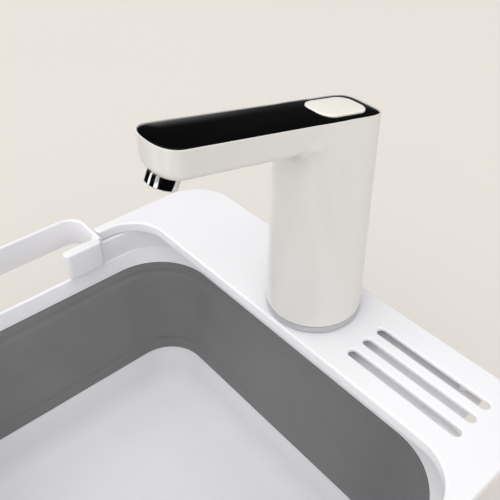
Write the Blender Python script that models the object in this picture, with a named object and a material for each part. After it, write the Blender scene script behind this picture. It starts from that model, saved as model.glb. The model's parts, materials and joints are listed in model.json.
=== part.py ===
"""Portable handwash sink: a folding basin with carrying handles and a rechargeable pump tap on its back deck.

Frame: metres, +Z up, origin on the ground under the middle of the outer box, +X along the deck,
+Y from the basin towards the deck.  Every node is one closed solid.
"""

import math

import bmesh
import bpy
from mathutils import Matrix, Vector

MM = 0.001
GAP = 0.3 * MM                      # clearance between neighbouring pieces

# ---------------------------------------------------------------- driving dimensions
DECK_TOP = 186.5 * MM               # height of the deck above the ground
DECK_HALF_X = 169.0 * MM
DECK_REACH = 189.1 * MM             # back edge of the deck, from the basin's middle
DECK_WIDTH = 72.7 * MM              # back bar of the deck, front to back
DECK_PLATE = 2.6 * MM               # plate thickness
LIP_DEPTH = 8.5 * MM                # turned-down edge all round the deck
LIP_WALL = 2.4 * MM
ARM_INNER_X = 160.3 * MM            # inner edge of the deck's two side arms
ARM_INNER_RADIUS = 31.0 * MM
DECK_CORNER = 38.0 * MM

RIM_HALF_X = 157.8 * MM             # inner face of the upper rim band
RIM_HALF_Y = 141.0 * MM
RIM_CORNER = 45.0 * MM
BAND_WALL = 2.5 * MM
FLANGE_X = 8.2 * MM                 # width of the flange that the band turns out into
HALF_DEPTH = (RIM_HALF_Y + FLANGE_X + DECK_REACH) / 2
DECK_BACK = HALF_DEPTH
BASIN_Y = DECK_BACK - DECK_REACH    # middle of the basin, front to back
BAND_TOP = DECK_TOP - 9.3 * MM
LEDGE = DECK_TOP - 29.5 * MM        # narrow step between band and lower ring
RING_BOTTOM = DECK_TOP - 42.0 * MM
RING_HALF_X = 152.8 * MM
RING_HALF_Y = 137.0 * MM
RING_CORNER = 50.0 * MM
RING_WALL = 6.6 * MM
RING_DRAFT = 3.8 * MM               # how much the ring opens from its foot to the ledge

TUB_TOP = DECK_TOP - 137.0 * MM     # upper edge of the rigid tub
FLOOR_TOP = DECK_TOP - 172.0 * MM
TUB_HALF_X = 138.9 * MM
TUB_HALF_Y = 126.7 * MM
TUB_CORNER = 34.0 * MM
TUB_WALL = 2.6 * MM
TUB_DRAFT = 9.0 * MM                # how much the tub walls lean in over their height
TUB_FILLET = 16.0 * MM              # between wall and floor
WALL_SKIN = 2.2 * MM                # soft wall thickness

STRAP_INNER_X = 192.8 * MM          # inner face of the handle strap
STRAP_WALL = 3.2 * MM
STRAP_DEPTH = 25.0 * MM
STRAP_HALF_Y = 76.0 * MM            # outer face of the handle legs, from the basin's middle
STRAP_CORNER = 16.0 * MM
BLOCK_X = (152.2 * MM, 158.8 * MM)  # hook block at each end of a handle
BLOCK_Y = (42.3 * MM, 73.9 * MM)
HAND_GAP = STRAP_HALF_Y + 0.5 * MM  # half the opening in the band that each handle sits in

TAP_X = 7.3 * MM
TAP_Y = BASIN_Y + 151.5 * MM
TAP_TURN = -2.7                     # degrees, how the spout stands at rest
TAP_RADIUS = 32.9 * MM              # column at its foot
TRIM_HEIGHT = 6.0 * MM
TOP_RISE = 0.182                    # slope of the tap's top, rising towards the spout
TOP_HEIGHT = 147.3 * MM             # top above the deck, on the swivel axis
TOP_HALF_X = 17.4 * MM
TOP_REAR = 31.1 * MM
SPOUT_REACH = 117.7 * MM
SPOUT_CAP = 12.5 * MM               # length of the rounded spout end
SPOUT_THICK = 17.6 * MM
SHELL_WALL = 2.0 * MM
COVER_THICK = 1.8 * MM
COVER_INSET = 1.0 * MM

BUTTON_AT = -5.0 * MM               # middle of the button, forward of the swivel axis
BUTTON_SIZE = (24.0 * MM, 37.0 * MM)

SLOT_X = (56.4 * MM, 141.8 * MM)
SLOT_WIDTH = 6.7 * MM
SLOT_ROWS = tuple(BASIN_Y + y * MM for y in (164.6, 150.4, 135.9))

WALL_FOLDS = ((0.0, 0.0), (0.09, 0.0), (0.12, 1.4), (0.15, 0.0), (0.48, 0.6), (0.52, 0.6), (0.85, 0.0),
              (0.88, 1.4), (0.91, 0.0), (1.0, 0.0))     # height share, bulge outwards in mm

TRAY_LOW = DECK_TOP - 12.5 * MM         # drip tray under the slots
TRAY_HIGH = DECK_TOP - 10.5 * MM
DECK_INNER = DECK_BACK - DECK_WIDTH
ARM_END = BASIN_Y + STRAP_HALF_Y + 0.6 * MM
HOSE_BACK = 16.5 * MM               # hose connector behind the swivel axis
BASE_SCREWS = tuple((TAP_X + 22 * MM * math.cos(math.radians(a)), TAP_Y + 22 * MM * math.sin(math.radians(a)))
                    for a in (-30, 210, 150, 30))
TRAY_SCREWS = tuple((side * 120 * MM, DECK_BACK - back) for side in (-1, 1) for back in (15 * MM, 62 * MM))

DRAIN_HOLE = 15.5 * MM
DRAIN_FLANGE = 22.0 * MM
DRAIN_THROAT = 11.0 * MM

TILT = math.degrees(math.atan(TOP_RISE))
REAR_POWER = 0.38                   # squareness of the column's top
CAP_POWER = 0.82                    # squareness of the spout's end
COLUMN_FOOT = TRIM_HEIGHT + GAP
AERATOR_AT = 104.5 * MM
AERATOR_RADIUS = 8.8 * MM
AERATOR_BORE = 6.9 * MM
AERATOR_DROP = 8.6 * MM             # below the spout's underside
AERATOR_LEAN = 15.0                 # degrees, further forward than square to the top
UNDERSIDE = -SPOUT_THICK / math.sqrt(1 + TOP_RISE ** 2)       # spout's underside, square to the top
TUBE_END = -(AERATOR_AT - 12.0 * MM)
SENSOR_AT = 89.6 * MM
PORT_Z = 93.0 * MM
PORT_HALF = (5.0 * MM, 2.4 * MM)
PUMP_Y = -8.0 * MM
BATTERY_Y = 19.2 * MM

# ---------------------------------------------------------------- colours
WHITE = (0.87, 0.87, 0.885)
SHELL_WHITE = (0.78, 0.765, 0.75)
GREY_TPE = (0.125, 0.126, 0.128)
BLACK = (0.004, 0.004, 0.005)
IVORY = (0.76, 0.75, 0.70)
SILVER = (0.60, 0.61, 0.63)
RUBBER = (0.05, 0.05, 0.05)
BOARD = (0.02, 0.17, 0.07)
BATTERY = (0.05, 0.22, 0.50)


# ---------------------------------------------------------------- mesh helpers
def material(name, colour, roughness=0.4, metallic=0.0):
    """A Principled material, made once for each finish."""
    found = bpy.data.materials.get(name)
    if found:
        return found
    made = bpy.data.materials.new(name)
    made.use_nodes = True
    shader = made.node_tree.nodes["Principled BSDF"]
    shader.inputs["Base Color"].default_value = (*colour, 1.0)
    shader.inputs["Roughness"].default_value = roughness
    shader.inputs["Metallic"].default_value = metallic
    made.diffuse_color = (*colour, 1.0)
    return made


def make(name, verts, faces, finish, parent=None, sharp=35.0):
    """One named object from points and faces, shaded smooth up to the sharp angle in degrees."""
    mesh = bpy.data.meshes.new(name)
    mesh.from_pydata([tuple(v) for v in verts], [], faces)
    mesh.validate()
    work = bmesh.new()
    work.from_mesh(mesh)
    bmesh.ops.remove_doubles(work, verts=work.verts, dist=1e-7)
    bmesh.ops.recalc_face_normals(work, faces=work.faces)
    work.to_mesh(mesh)
    work.free()
    mesh.shade_smooth()
    mesh.set_sharp_from_angle(angle=math.radians(sharp))
    made = bpy.data.objects.new(name, mesh)
    bpy.context.scene.collection.objects.link(made)
    if finish:
        mesh.materials.append(finish)
    if parent:
        made.parent = parent
    return made


def loft(name, loops, finish=None, parent=None, cap=True, sharp=35.0):
    """Skin a stack of closed loops with equal point counts; the ends are capped unless the stack closes."""
    count = len(loops[0])
    verts = [p for loop in loops for p in loop]
    faces = []
    rows = len(loops)
    last = rows if not cap else rows - 1
    for row in range(last):
        here, above = row * count, (row + 1) % rows * count
        for k in range(count):
            nxt = (k + 1) % count
            faces.append((here + k, here + nxt, above + nxt, above + k))
    if cap:
        faces.append(tuple(range(count))[::-1])
        faces.append(tuple(range((rows - 1) * count, rows * count)))
    return make(name, verts, faces, finish, parent, sharp)


def prism(name, outline, low, high, finish=None, parent=None):
    """A flat outline of (x, y) points raised from low to high."""
    return loft(name, [[(x, y, z) for x, y in outline] for z in (low, high)], finish, parent)


def ring_section(name, outline_at, section, finish=None, parent=None, sharp=35.0):
    """A closed ring: section is a closed list of (inset, z), outline_at gives the loop for an inset."""
    return loft(name, [[(x, y, z) for x, y in outline_at(inset)] for inset, z in section], finish, parent,
                cap=False, sharp=sharp)


def turned(name, profile, finish=None, parent=None, centre=(0.0, 0.0), sides=24, sharp=35.0):
    """A solid of revolution about Z from an open profile of (radius, z) whose two ends lie on the axis."""
    loops = []
    for radius, z in profile:
        loops.append([(centre[0] + radius * math.cos(math.tau * k / sides),
                       centre[1] + radius * math.sin(math.tau * k / sides), z) for k in range(sides)])
    return loft(name, loops, finish, parent, sharp=sharp)


def turned_ring(name, profile, finish=None, parent=None, centre=(0.0, 0.0), sides=24, sharp=35.0):
    """A ring of revolution about Z from a closed profile of (radius, z)."""
    loops = []
    for radius, z in profile:
        loops.append([(centre[0] + radius * math.cos(math.tau * k / sides),
                       centre[1] + radius * math.sin(math.tau * k / sides), z) for k in range(sides)])
    return loft(name, loops, finish, parent, cap=False, sharp=sharp)


def arc(cx, cy, radius, start, end, steps):
    """Points on an arc, angles in degrees, both ends kept."""
    return [(cx + radius * math.cos(math.radians(start + (end - start) * k / steps)),
             cy + radius * math.sin(math.radians(start + (end - start) * k / steps))) for k in range(steps + 1)]


def rounded_rect(half_x, half_y, radius, centre=(0.0, 0.0), steps=6):
    """Counter-clockwise rounded rectangle."""
    cx, cy = centre
    points = []
    for sx, sy, start in ((1, 1, 0), (-1, 1, 90), (-1, -1, 180), (1, -1, 270)):
        points += arc(cx + sx * (half_x - radius), cy + sy * (half_y - radius), radius, start, start + 90, steps)
    return points


def box(name, low, high, radius=0.0, finish=None, parent=None, steps=3):
    """A box with rounded upright edges."""
    cx, cy = (low[0] + high[0]) / 2, (low[1] + high[1]) / 2
    hx, hy = (high[0] - low[0]) / 2, (high[1] - low[1]) / 2
    if radius:
        outline = rounded_rect(hx, hy, radius, (cx, cy), steps)
    else:
        outline = [(cx + hx, cy + hy), (cx - hx, cy + hy), (cx - hx, cy - hy), (cx + hx, cy - hy)]
    return prism(name, outline, low[2], high[2], finish, parent)


def boolean(target, other, operation):
    """Cut or join with the exact solver in the target's own frame, keep the result, and drop the other piece."""
    other.parent = target.parent
    step = target.modifiers.new(operation.lower(), "BOOLEAN")
    step.operation = operation
    step.object = other
    step.solver = "EXACT"
    bake(target)
    bpy.data.objects.remove(other, do_unlink=True)
    return target


def bake(target):
    """Replace an object's mesh by its evaluated one and drop its modifiers."""
    bpy.context.view_layer.update()
    graph = bpy.context.evaluated_depsgraph_get()
    mesh = bpy.data.meshes.new_from_object(target.evaluated_get(graph), depsgraph=graph)
    mesh.name = target.name
    target.modifiers.clear()
    target.data = mesh
    work = bmesh.new()
    work.from_mesh(mesh)
    bmesh.ops.dissolve_degenerate(work, edges=work.edges, dist=1e-6)
    work.to_mesh(mesh)
    work.free()
    mesh.shade_smooth()
    mesh.set_sharp_from_angle(angle=math.radians(35.0))
    return target


def cut(target, *others):
    for other in others:
        boolean(target, other, "DIFFERENCE")
    return target


def join(target, *others):
    for other in others:
        boolean(target, other, "UNION")
    return target


def place(target, location=(0, 0, 0), turn=(0, 0, 0)):
    """Move and turn a piece's points, angles in degrees about X, then Y, then Z."""
    spin = Matrix.Rotation(math.radians(turn[2]), 4, "Z") @ Matrix.Rotation(math.radians(turn[1]), 4, "Y")
    spin = spin @ Matrix.Rotation(math.radians(turn[0]), 4, "X")
    target.data.transform(Matrix.Translation(Vector(location)) @ spin)
    return target


def axis_empty(name, location, parent=None, turn=(0, 0, 0)):
    """An empty that marks a joint's axis; its children are modelled in its own frame."""
    made = bpy.data.objects.new(name, None)
    made.location = location
    made.rotation_euler = [math.radians(t) for t in turn]
    made.empty_display_size = 0.02
    bpy.context.scene.collection.objects.link(made)
    made.parent = parent
    return made


# ---------------------------------------------------------------- basin: tub, soft wall, rim
def basin_outline(half_x, half_y, radius, steps=5):
    return rounded_rect(half_x, half_y, radius, (0.0, BASIN_Y), steps)


def tub_loop(inset, z):
    """Horizontal slice of the tub at height z, moved in by inset; the walls lean in towards the floor."""
    height = max(0.0, min(1.0, (TUB_TOP - z) / (TUB_TOP - FLOOR_TOP)))
    shrink = inset + TUB_DRAFT * height
    return [(x, y, z) for x, y in basin_outline(TUB_HALF_X - shrink, TUB_HALF_Y - shrink,
                                                max(TUB_CORNER - 0.5 * shrink, 8 * MM))]


def base_tub():
    """Rigid pan: sloping walls, a large fillet into the floor, a hanging flange for the soft wall."""
    floor_low = FLOOR_TOP - TUB_WALL
    steps = 5
    inside, outside = [], []
    for k in range(steps + 1):
        angle = math.radians(90.0 * k / steps)
        inside.append(tub_loop(TUB_FILLET * (1 - math.cos(angle)), FLOOR_TOP + TUB_FILLET * (1 - math.sin(angle))))
        radius = TUB_FILLET + TUB_WALL
        outside.append(tub_loop(radius * (1 - math.cos(angle)) - TUB_WALL,
                                floor_low + radius * (1 - math.sin(angle))))
    loops = [tub_loop(0.0, TUB_TOP)] + inside
    loops += [outside[-1]] + outside[-2::-1] + [tub_loop(-TUB_WALL, TUB_TOP)]
    count = len(loops[0])
    verts = [p for loop in loops for p in loop]
    faces = []
    floor_row = len(inside)
    for row in range(len(loops)):
        if row == floor_row:
            continue
        above = (row + 1) % len(loops)
        for k in range(count):
            nxt = (k + 1) % count
            faces.append((row * count + k, row * count + nxt, above * count + nxt, above * count + k))
    faces.append(tuple(range(floor_row * count, (floor_row + 1) * count)))
    faces.append(tuple(range((floor_row + 1) * count, (floor_row + 2) * count))[::-1])
    tub = make("base_tub", verts, faces, material("white_pp", WHITE, 0.35))
    tub = cut(tub, turned("drain_hole", [(DRAIN_HOLE, 0.0), (DRAIN_HOLE, 30 * MM)], centre=(0.0, BASIN_Y)))
    return tub


def collapsible_wall():
    """Soft skin between ring and tub, with shallow fold lines near its top and foot."""
    low, high = TUB_TOP + GAP, RING_BOTTOM - GAP
    loops = []
    for offset, order in ((0.0, WALL_FOLDS), (WALL_SKIN, WALL_FOLDS[::-1])):
        for share, bulge in order:
            z = low + (high - low) * share
            half_x = TUB_HALF_X + (RING_HALF_X - TUB_HALF_X) * share + bulge * MM + offset
            half_y = TUB_HALF_Y + (RING_HALF_Y - TUB_HALF_Y) * share + bulge * MM + offset
            corner = TUB_CORNER + (RING_CORNER - TUB_CORNER) * share + offset
            loops.append([(x, y, z) for x, y in basin_outline(half_x, half_y, corner)])
    return loft("collapsible_wall", loops, material("grey_tpe", GREY_TPE, 0.6), cap=False)


def ring_outline(inset):
    return basin_outline(RING_HALF_X - inset, RING_HALF_Y - inset, max(RING_CORNER - inset, 5 * MM))


def rim_ring():
    """Lower ring of the rim moulding, which the soft wall hangs from."""
    section = [(0.0, RING_BOTTOM), (-RING_DRAFT, LEDGE - 0.5 * MM), (-RING_DRAFT - 0.5 * MM, LEDGE), (-RING_WALL, LEDGE),
               (-RING_WALL, RING_BOTTOM - 3.0 * MM), (-RING_WALL + 2.2 * MM, RING_BOTTOM - 3.0 * MM),
               (-RING_WALL + 2.2 * MM, RING_BOTTOM)]
    return ring_section("rim_frame", ring_outline, section, material("white_pp", WHITE, 0.35))


def rim_band():
    """Upright band above the ledge, turned out into a flange, open at the two hand gaps and low at the back."""
    def outline(inset):
        return basin_outline(RIM_HALF_X - inset, RIM_HALF_Y - inset, max(RIM_CORNER - inset, 5 * MM))

    foot = LEDGE - 1.5 * MM
    section = [(0.0, foot), (0.0, BAND_TOP), (-FLANGE_X, BAND_TOP), (-FLANGE_X, BAND_TOP - 2.4 * MM),
               (-BAND_WALL, BAND_TOP - 2.4 * MM), (-BAND_WALL, foot)]
    return ring_section("rim_band", outline, section)


def handle(name, side):
    """Strap bowed out from the rim, its two legs, and the hook blocks that sit on the ledge."""
    high, low = DECK_TOP, DECK_TOP - STRAP_DEPTH
    reach = STRAP_INNER_X + STRAP_WALL
    start = (BLOCK_X[0] + BLOCK_X[1]) / 2
    outer = [(start, -STRAP_HALF_Y)] + arc(reach - STRAP_CORNER, -STRAP_HALF_Y + STRAP_CORNER, STRAP_CORNER, -90, 0, 6)
    outer += arc(reach - STRAP_CORNER, STRAP_HALF_Y - STRAP_CORNER, STRAP_CORNER, 0, 90, 6) + [(start, STRAP_HALF_Y)]
    bend = STRAP_CORNER - STRAP_WALL
    inner = [(start, STRAP_HALF_Y - STRAP_WALL)]
    inner += arc(reach - STRAP_CORNER, STRAP_HALF_Y - STRAP_CORNER, bend, 90, 0, 6)
    inner += arc(reach - STRAP_CORNER, -STRAP_HALF_Y + STRAP_CORNER, bend, 0, -90, 6)
    inner += [(start, -STRAP_HALF_Y + STRAP_WALL)]
    outline = [(x, y + BASIN_Y) for x, y in outer + inner]
    strap = prism(name, outline, low, high, material("white_pp", WHITE, 0.35))
    for end in (-1, 1):
        y_pair = sorted((end * BLOCK_Y[0] + BASIN_Y, end * BLOCK_Y[1] + BASIN_Y))
        block = box("block", (BLOCK_X[0], y_pair[0], LEDGE + GAP), (BLOCK_X[1], y_pair[1], high), 2.4 * MM)
        strap = join(strap, block)
    if side < 0:
        strap.data.transform(Matrix.Scale(-1, 4, Vector((1, 0, 0))))
        strap.data.flip_normals()
    return strap


def open_hand_gaps(band):
    """Take the band away where the handles hook on, and under the deck's back bar."""
    for side in (-1, 1):
        x_pair = sorted((side * 150 * MM, side * 175 * MM))
        slot = box("gap", (x_pair[0], BASIN_Y - HAND_GAP, LEDGE - 5 * MM),
                   (x_pair[1], BASIN_Y + HAND_GAP, DECK_TOP))
        cut(band, slot)
    back = box("back", (-134 * MM, 98 * MM, TRAY_LOW - 0.4 * MM), (134 * MM, 140 * MM, DECK_TOP))
    return cut(band, back)


# ---------------------------------------------------------------- deck


def deck_outline(inset):
    """U-shaped outline, counter-clockwise from the right arm's inner end; inset moves every edge inwards."""
    outer_x, back, corner = DECK_HALF_X - inset, DECK_BACK - inset, DECK_CORNER - inset
    inner_x, inner_y, bend = ARM_INNER_X + inset, DECK_INNER + inset, ARM_INNER_RADIUS + inset
    tip = ARM_END + inset
    right = [(inner_x, tip), (outer_x, tip)] + arc(outer_x - corner, back - corner, corner, 0, 90, 8)
    left = [(-x, y) for x, y in right[::-1]]
    inner_left = arc(-inner_x + bend, inner_y - bend, bend, 180, 90, 8)
    inner_right = [(-x, y) for x, y in inner_left[::-1]]
    return right + left + inner_left + inner_right


def slot_cutter(row, low, high):
    half = SLOT_WIDTH / 2
    outline = arc(SLOT_X[1] - half, row, half, -90, 90, 6) + arc(SLOT_X[0] + half, row, half, 90, 270, 6)
    return prism("slot", outline, low, high)


def deck_plate():
    """Cap plate with a turned-down lip, three slots, and holes for the tap's screws and hose connector."""
    white = material("white_pp", WHITE, 0.35)
    edge = 0.8 * MM
    loops = []
    for inset, z in ((LIP_WALL, DECK_TOP - LIP_DEPTH), (0.0, DECK_TOP - LIP_DEPTH), (0.0, DECK_TOP - edge),
                     (edge * 0.3, DECK_TOP - edge * 0.3), (edge, DECK_TOP)):
        loops.append([(x, y, z) for x, y in deck_outline(inset)])
    under = [(x, y, DECK_TOP - DECK_PLATE) for x, y in deck_outline(LIP_WALL)]
    loops = [under] + loops
    plate = loft("deck_plate", loops, white)
    for row in SLOT_ROWS:
        cut(plate, slot_cutter(row, DECK_TOP - 20 * MM, DECK_TOP + 5 * MM))
    for x, y in BASE_SCREWS:
        cut(plate, turned("hole", [(1.9 * MM, 0.15), (1.9 * MM, 0.2)], centre=(x, y), sides=16))
    cut(plate, turned("hole", [(6.4 * MM, 0.15), (6.4 * MM, 0.2)], centre=(TAP_X, TAP_Y + HOSE_BACK), sides=24))
    for x, y in TRAY_SCREWS:
        boss = turned("boss", [(3.2 * MM, TRAY_HIGH + GAP), (3.2 * MM, DECK_TOP - DECK_PLATE + 0.5 * MM)],
                      centre=(x, y), sides=16)
        join(plate, boss)
        cut(plate, turned("hole", [(1.3 * MM, 0.15), (1.3 * MM, DECK_TOP - DECK_PLATE)], centre=(x, y), sides=12))
    return plate


def deck_tray():
    """Drip tray screwed under the deck: it carries slot water forward into the basin."""
    front, back = DECK_INNER + 6.0 * MM, DECK_BACK - 4.5 * MM
    outline = rounded_rect(133 * MM, (back - front) / 2, 12 * MM, (0.0, (front + back) / 2), 4)
    tray = prism("deck_tray", outline, TRAY_LOW, TRAY_HIGH, material("white_pp", WHITE, 0.35))
    for side in (-1, 1):
        for k in range(4):
            x = side * (70 + 15 * k) * MM
            notch = box("notch", (x - 4 * MM, front - 5 * MM, 0.1), (x + 4 * MM, front + 5 * MM, 0.2))
            cut(tray, notch)
    for x, y in TRAY_SCREWS:
        cut(tray, turned("hole", [(1.9 * MM, 0.15), (1.9 * MM, 0.2)], centre=(x, y), sides=10))
    for x, y in BASE_SCREWS:
        cut(tray, turned("hole", [(4.2 * MM, 0.15), (4.2 * MM, 0.2)], centre=(x, y), sides=12))
    cut(tray, turned("hole", [(8.5 * MM, 0.15), (8.5 * MM, 0.2)], centre=(TAP_X, TAP_Y + HOSE_BACK), sides=24))
    return tray


def screw(name, x, y, seat, length, shank, head, parent=None, up=True):
    """Pan-head screw standing on Z: seat is the head's bearing face, the shank goes up (or down) from it."""
    way = 1.0 if up else -1.0
    tall = head * 0.6
    profile = [(0.55 * head, seat - way * tall), (0.9 * head, seat - way * tall * 0.7), (head, seat - way * tall * 0.3),
               (head, seat), (shank, seat), (shank, seat + way * (length - shank)), (shank * 0.4, seat + way * length)]
    if not up:
        profile = profile[::-1]
    piece = turned(name, profile, material("zinc_screw", SILVER, 0.3, 1.0), parent, (x, y), 10)
    slot_wide, slot_long, slot_deep = head * 0.14, head * 1.2, tall * 0.45
    edge = seat - way * tall
    span = sorted((edge - way * 0.5 * MM, edge + way * slot_deep))
    cut(piece, box("slot", (x - slot_long, y - slot_wide, span[0]), (x + slot_long, y + slot_wide, span[1])))
    return piece


# ---------------------------------------------------------------- drain


def drain_parts():
    at = (0.0, BASIN_Y)
    under = FLOOR_TOP - TUB_WALL
    flange = turned_ring("drain_flange", [
        (DRAIN_THROAT, FLOOR_TOP + 0.4 * MM), (DRAIN_THROAT + 3 * MM, FLOOR_TOP + 1.6 * MM),
        (DRAIN_FLANGE - 1 * MM, FLOOR_TOP + 1.6 * MM), (DRAIN_FLANGE, FLOOR_TOP + 0.7 * MM),
        (DRAIN_FLANGE, FLOOR_TOP + GAP), (DRAIN_HOLE - GAP, FLOOR_TOP + GAP),
        (DRAIN_HOLE - GAP, 3.2 * MM), (DRAIN_THROAT, 3.2 * MM)],
        material("chrome_drain", SILVER, 0.12, 1.0), centre=at, sides=28)
    for angle in (0, 90):
        bar = box("bar", (-DRAIN_THROAT - 1.5 * MM, -1.0 * MM, 4.2 * MM), (DRAIN_THROAT + 1.5 * MM, 1.0 * MM, 6.2 * MM))
        join(flange, place(bar, (0.0, BASIN_Y, 0.0), (0, 0, angle + 45)))
    gasket = turned_ring("drain_gasket", [
        (DRAIN_HOLE + GAP, under - GAP), (DRAIN_FLANGE - 1 * MM, under - GAP),
        (DRAIN_FLANGE - 1 * MM, under - 1.8 * MM), (DRAIN_HOLE + GAP, under - 1.8 * MM)],
        material("black_rubber", RUBBER, 0.7), centre=at, sides=24)
    nut = turned_ring("drain_nut", [
        (DRAIN_HOLE + 0.2 * MM, under - 2.1 * MM), (DRAIN_FLANGE, under - 2.1 * MM),
        (DRAIN_FLANGE + 1 * MM, under - 3.0 * MM), (DRAIN_FLANGE + 1 * MM, under - 7.2 * MM),
        (DRAIN_HOLE + 0.2 * MM, under - 7.2 * MM)],
        material("white_nut", WHITE, 0.4), centre=at, sides=24)
    for k in range(6):
        notch = turned("notch", [(2.4 * MM, 0.0), (2.4 * MM, 20 * MM)], sides=8)
        angle = math.tau * k / 6
        reach = DRAIN_FLANGE + 2.4 * MM
        cut(nut, place(notch, (reach * math.cos(angle), BASIN_Y + reach * math.sin(angle), 0.0)))
    stopper = turned("drain_stopper", [
        (DRAIN_THROAT - 1.4 * MM, FLOOR_TOP - 4.6 * MM), (DRAIN_THROAT - 0.6 * MM, FLOOR_TOP - 1.2 * MM),
        (DRAIN_THROAT - 0.6 * MM, FLOOR_TOP + 0.6 * MM), (DRAIN_THROAT + 3.4 * MM, FLOOR_TOP + 2.0 * MM),
        (DRAIN_THROAT + 3.4 * MM, FLOOR_TOP + 3.4 * MM), (DRAIN_THROAT + 2.0 * MM, FLOOR_TOP + 4.2 * MM),
        (5.0 * MM, FLOOR_TOP + 4.6 * MM), (3.2 * MM, FLOOR_TOP + 6.4 * MM), (3.2 * MM, FLOOR_TOP + 9.0 * MM),
        (6.0 * MM, FLOOR_TOP + 11.0 * MM), (6.0 * MM, FLOOR_TOP + 12.4 * MM), (4.0 * MM, FLOOR_TOP + 13.2 * MM)],
        material("grey_tpe", GREY_TPE, 0.6), centre=at, sides=20)
    return flange, gasket, nut, stopper


def foot(name, sx, sy):
    """Soft foot pressed against the tub's underside."""
    x, y = sx * 92 * MM, BASIN_Y + sy * 80 * MM
    top = FLOOR_TOP - TUB_WALL - GAP
    return turned(name, [(8.0 * MM, 0.0), (9.5 * MM, 0.8 * MM), (10.5 * MM, top - 0.8 * MM), (10.5 * MM, top)],
                  material("black_rubber", RUBBER, 0.7), centre=(x, y), sides=16)


# ---------------------------------------------------------------- tap: outer form


def power(value, exponent):
    return math.copysign(abs(value) ** exponent, value)


def top_z(y, depth=0.0):
    """Height above the deck of the sloping top, or of a surface a given depth below it."""
    return TOP_HEIGHT - TOP_RISE * y - depth


def rear_point(angle, inset):
    """Point on the squared oval that ends the column."""
    return ((TOP_HALF_X - inset) * power(math.cos(angle), REAR_POWER),
            (TOP_REAR - inset) * power(math.sin(angle), REAR_POWER))


def column(name, inset, low, extra, sides=32, rows=4):
    """Ruled column: a circle at the foot, a squared oval in the sloping plane of the top."""
    loops = []
    for row in range(rows + 1):
        share = row / rows
        loop = []
        for k in range(sides):
            angle = math.tau * k / sides
            x, y = rear_point(angle, inset)
            foot_x, foot_y = ((TAP_RADIUS - inset) * f for f in (math.cos(angle), math.sin(angle)))
            z = low + share * (top_z(y, -extra) - low)
            loop.append((foot_x + share * (x - foot_x), foot_y + share * (y - foot_y), z))
        loops.append(loop)
    return loft(name, loops)


def spout_outline(inset, back, steps=10):
    """Plan of the spout from its squared root at y = back to its rounded end."""
    half, cap = TOP_HALF_X - inset, SPOUT_CAP - inset
    root = SPOUT_REACH - SPOUT_CAP
    points = [(half, back), (-half, back)]
    for k in range(steps + 1):
        angle = math.pi + math.pi * k / steps
        points.append((half * power(math.cos(angle), CAP_POWER), -root + cap * power(math.sin(angle), CAP_POWER)))
    return points


def spout(name, inset, depth, back, rise, fillet):
    """Bar under the sloping top: upright sides, rounded lower edges."""
    loops = []
    rows = [(0.0, -rise), (0.0, depth - fillet)]
    if fillet:
        rows += [(fillet * (1 - math.cos(a)), depth - fillet + fillet * math.sin(a))
                 for a in (math.radians(30 * k) for k in range(1, 4))]
    for extra, level in rows[::-1]:
        loops.append([(x, y, top_z(y, level)) for x, y in spout_outline(inset + extra, back)])
    return loft(name, loops)


def top_outline(inset, steps=16):
    """Whole outline of the tap's top: column end and spout end."""
    points = [rear_point(math.pi * k / steps, inset) for k in range(steps + 1)]
    return points + spout_outline(inset, 0.0)[2:]


def sloped(name, outline, high, low, finish=None, parent=None):
    """A plate that follows the sloping top, between two depths below it."""
    loops = [[(x, y, top_z(y, level)) for x, y in outline] for level in (low, high)]
    return loft(name, loops, finish, parent)


def on_slope(piece, along, depth=0.0):
    """Stand a piece modelled about Z square to the sloping top, forward of the swivel axis by along."""
    return place(piece, (0.0, -along, top_z(-along, depth)), (-TILT, 0, 0))


def leaning(piece):
    """Stand an outlet piece in the spout: it leans forward about the middle of its mouth in the underside."""
    place(piece, (0.0, 0.0, -UNDERSIDE))
    return on_slope(place(piece, (0.0, 0.0, UNDERSIDE), (-AERATOR_LEAN, 0, 0)), AERATOR_AT)


def faucet_shell(tap):
    shell = column("faucet_shell", 0.0, COLUMN_FOOT, 0.0)
    shell.data.materials.append(material("shell_white", SHELL_WHITE, 0.3))
    join(shell, spout("spout", 0.02 * MM, SPOUT_THICK, 9 * MM, 0.0, 4.8 * MM))
    hollow = column("hollow", SHELL_WALL, COLUMN_FOOT - 0.5 * MM, 2 * MM)
    join(hollow, spout("spout_hollow", SHELL_WALL + 0.03 * MM, SPOUT_THICK - 2.2 * MM, 9 * MM, 1.9 * MM, 3.0 * MM))
    cut(shell, hollow)
    cut(shell, sloped("recess", top_outline(COVER_INSET), -3 * MM, COVER_THICK))
    cut(shell, leaning(turned("hole", [(AERATOR_RADIUS + GAP, UNDERSIDE - 8 * MM),
                                       (AERATOR_RADIUS + GAP, UNDERSIDE + 7 * MM)])))
    cut(shell, on_slope(turned("hole", [(3.5 * MM, -25 * MM), (3.5 * MM, -10 * MM)], sides=20), SENSOR_AT))
    port = prism("port", rounded_rect(PORT_HALF[0], PORT_HALF[1], 2.0 * MM), -0.045, -0.02)
    cut(shell, place(port, (0, 0, PORT_Z), (90, 0, 0)))
    shell.parent = tap
    return shell


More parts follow.
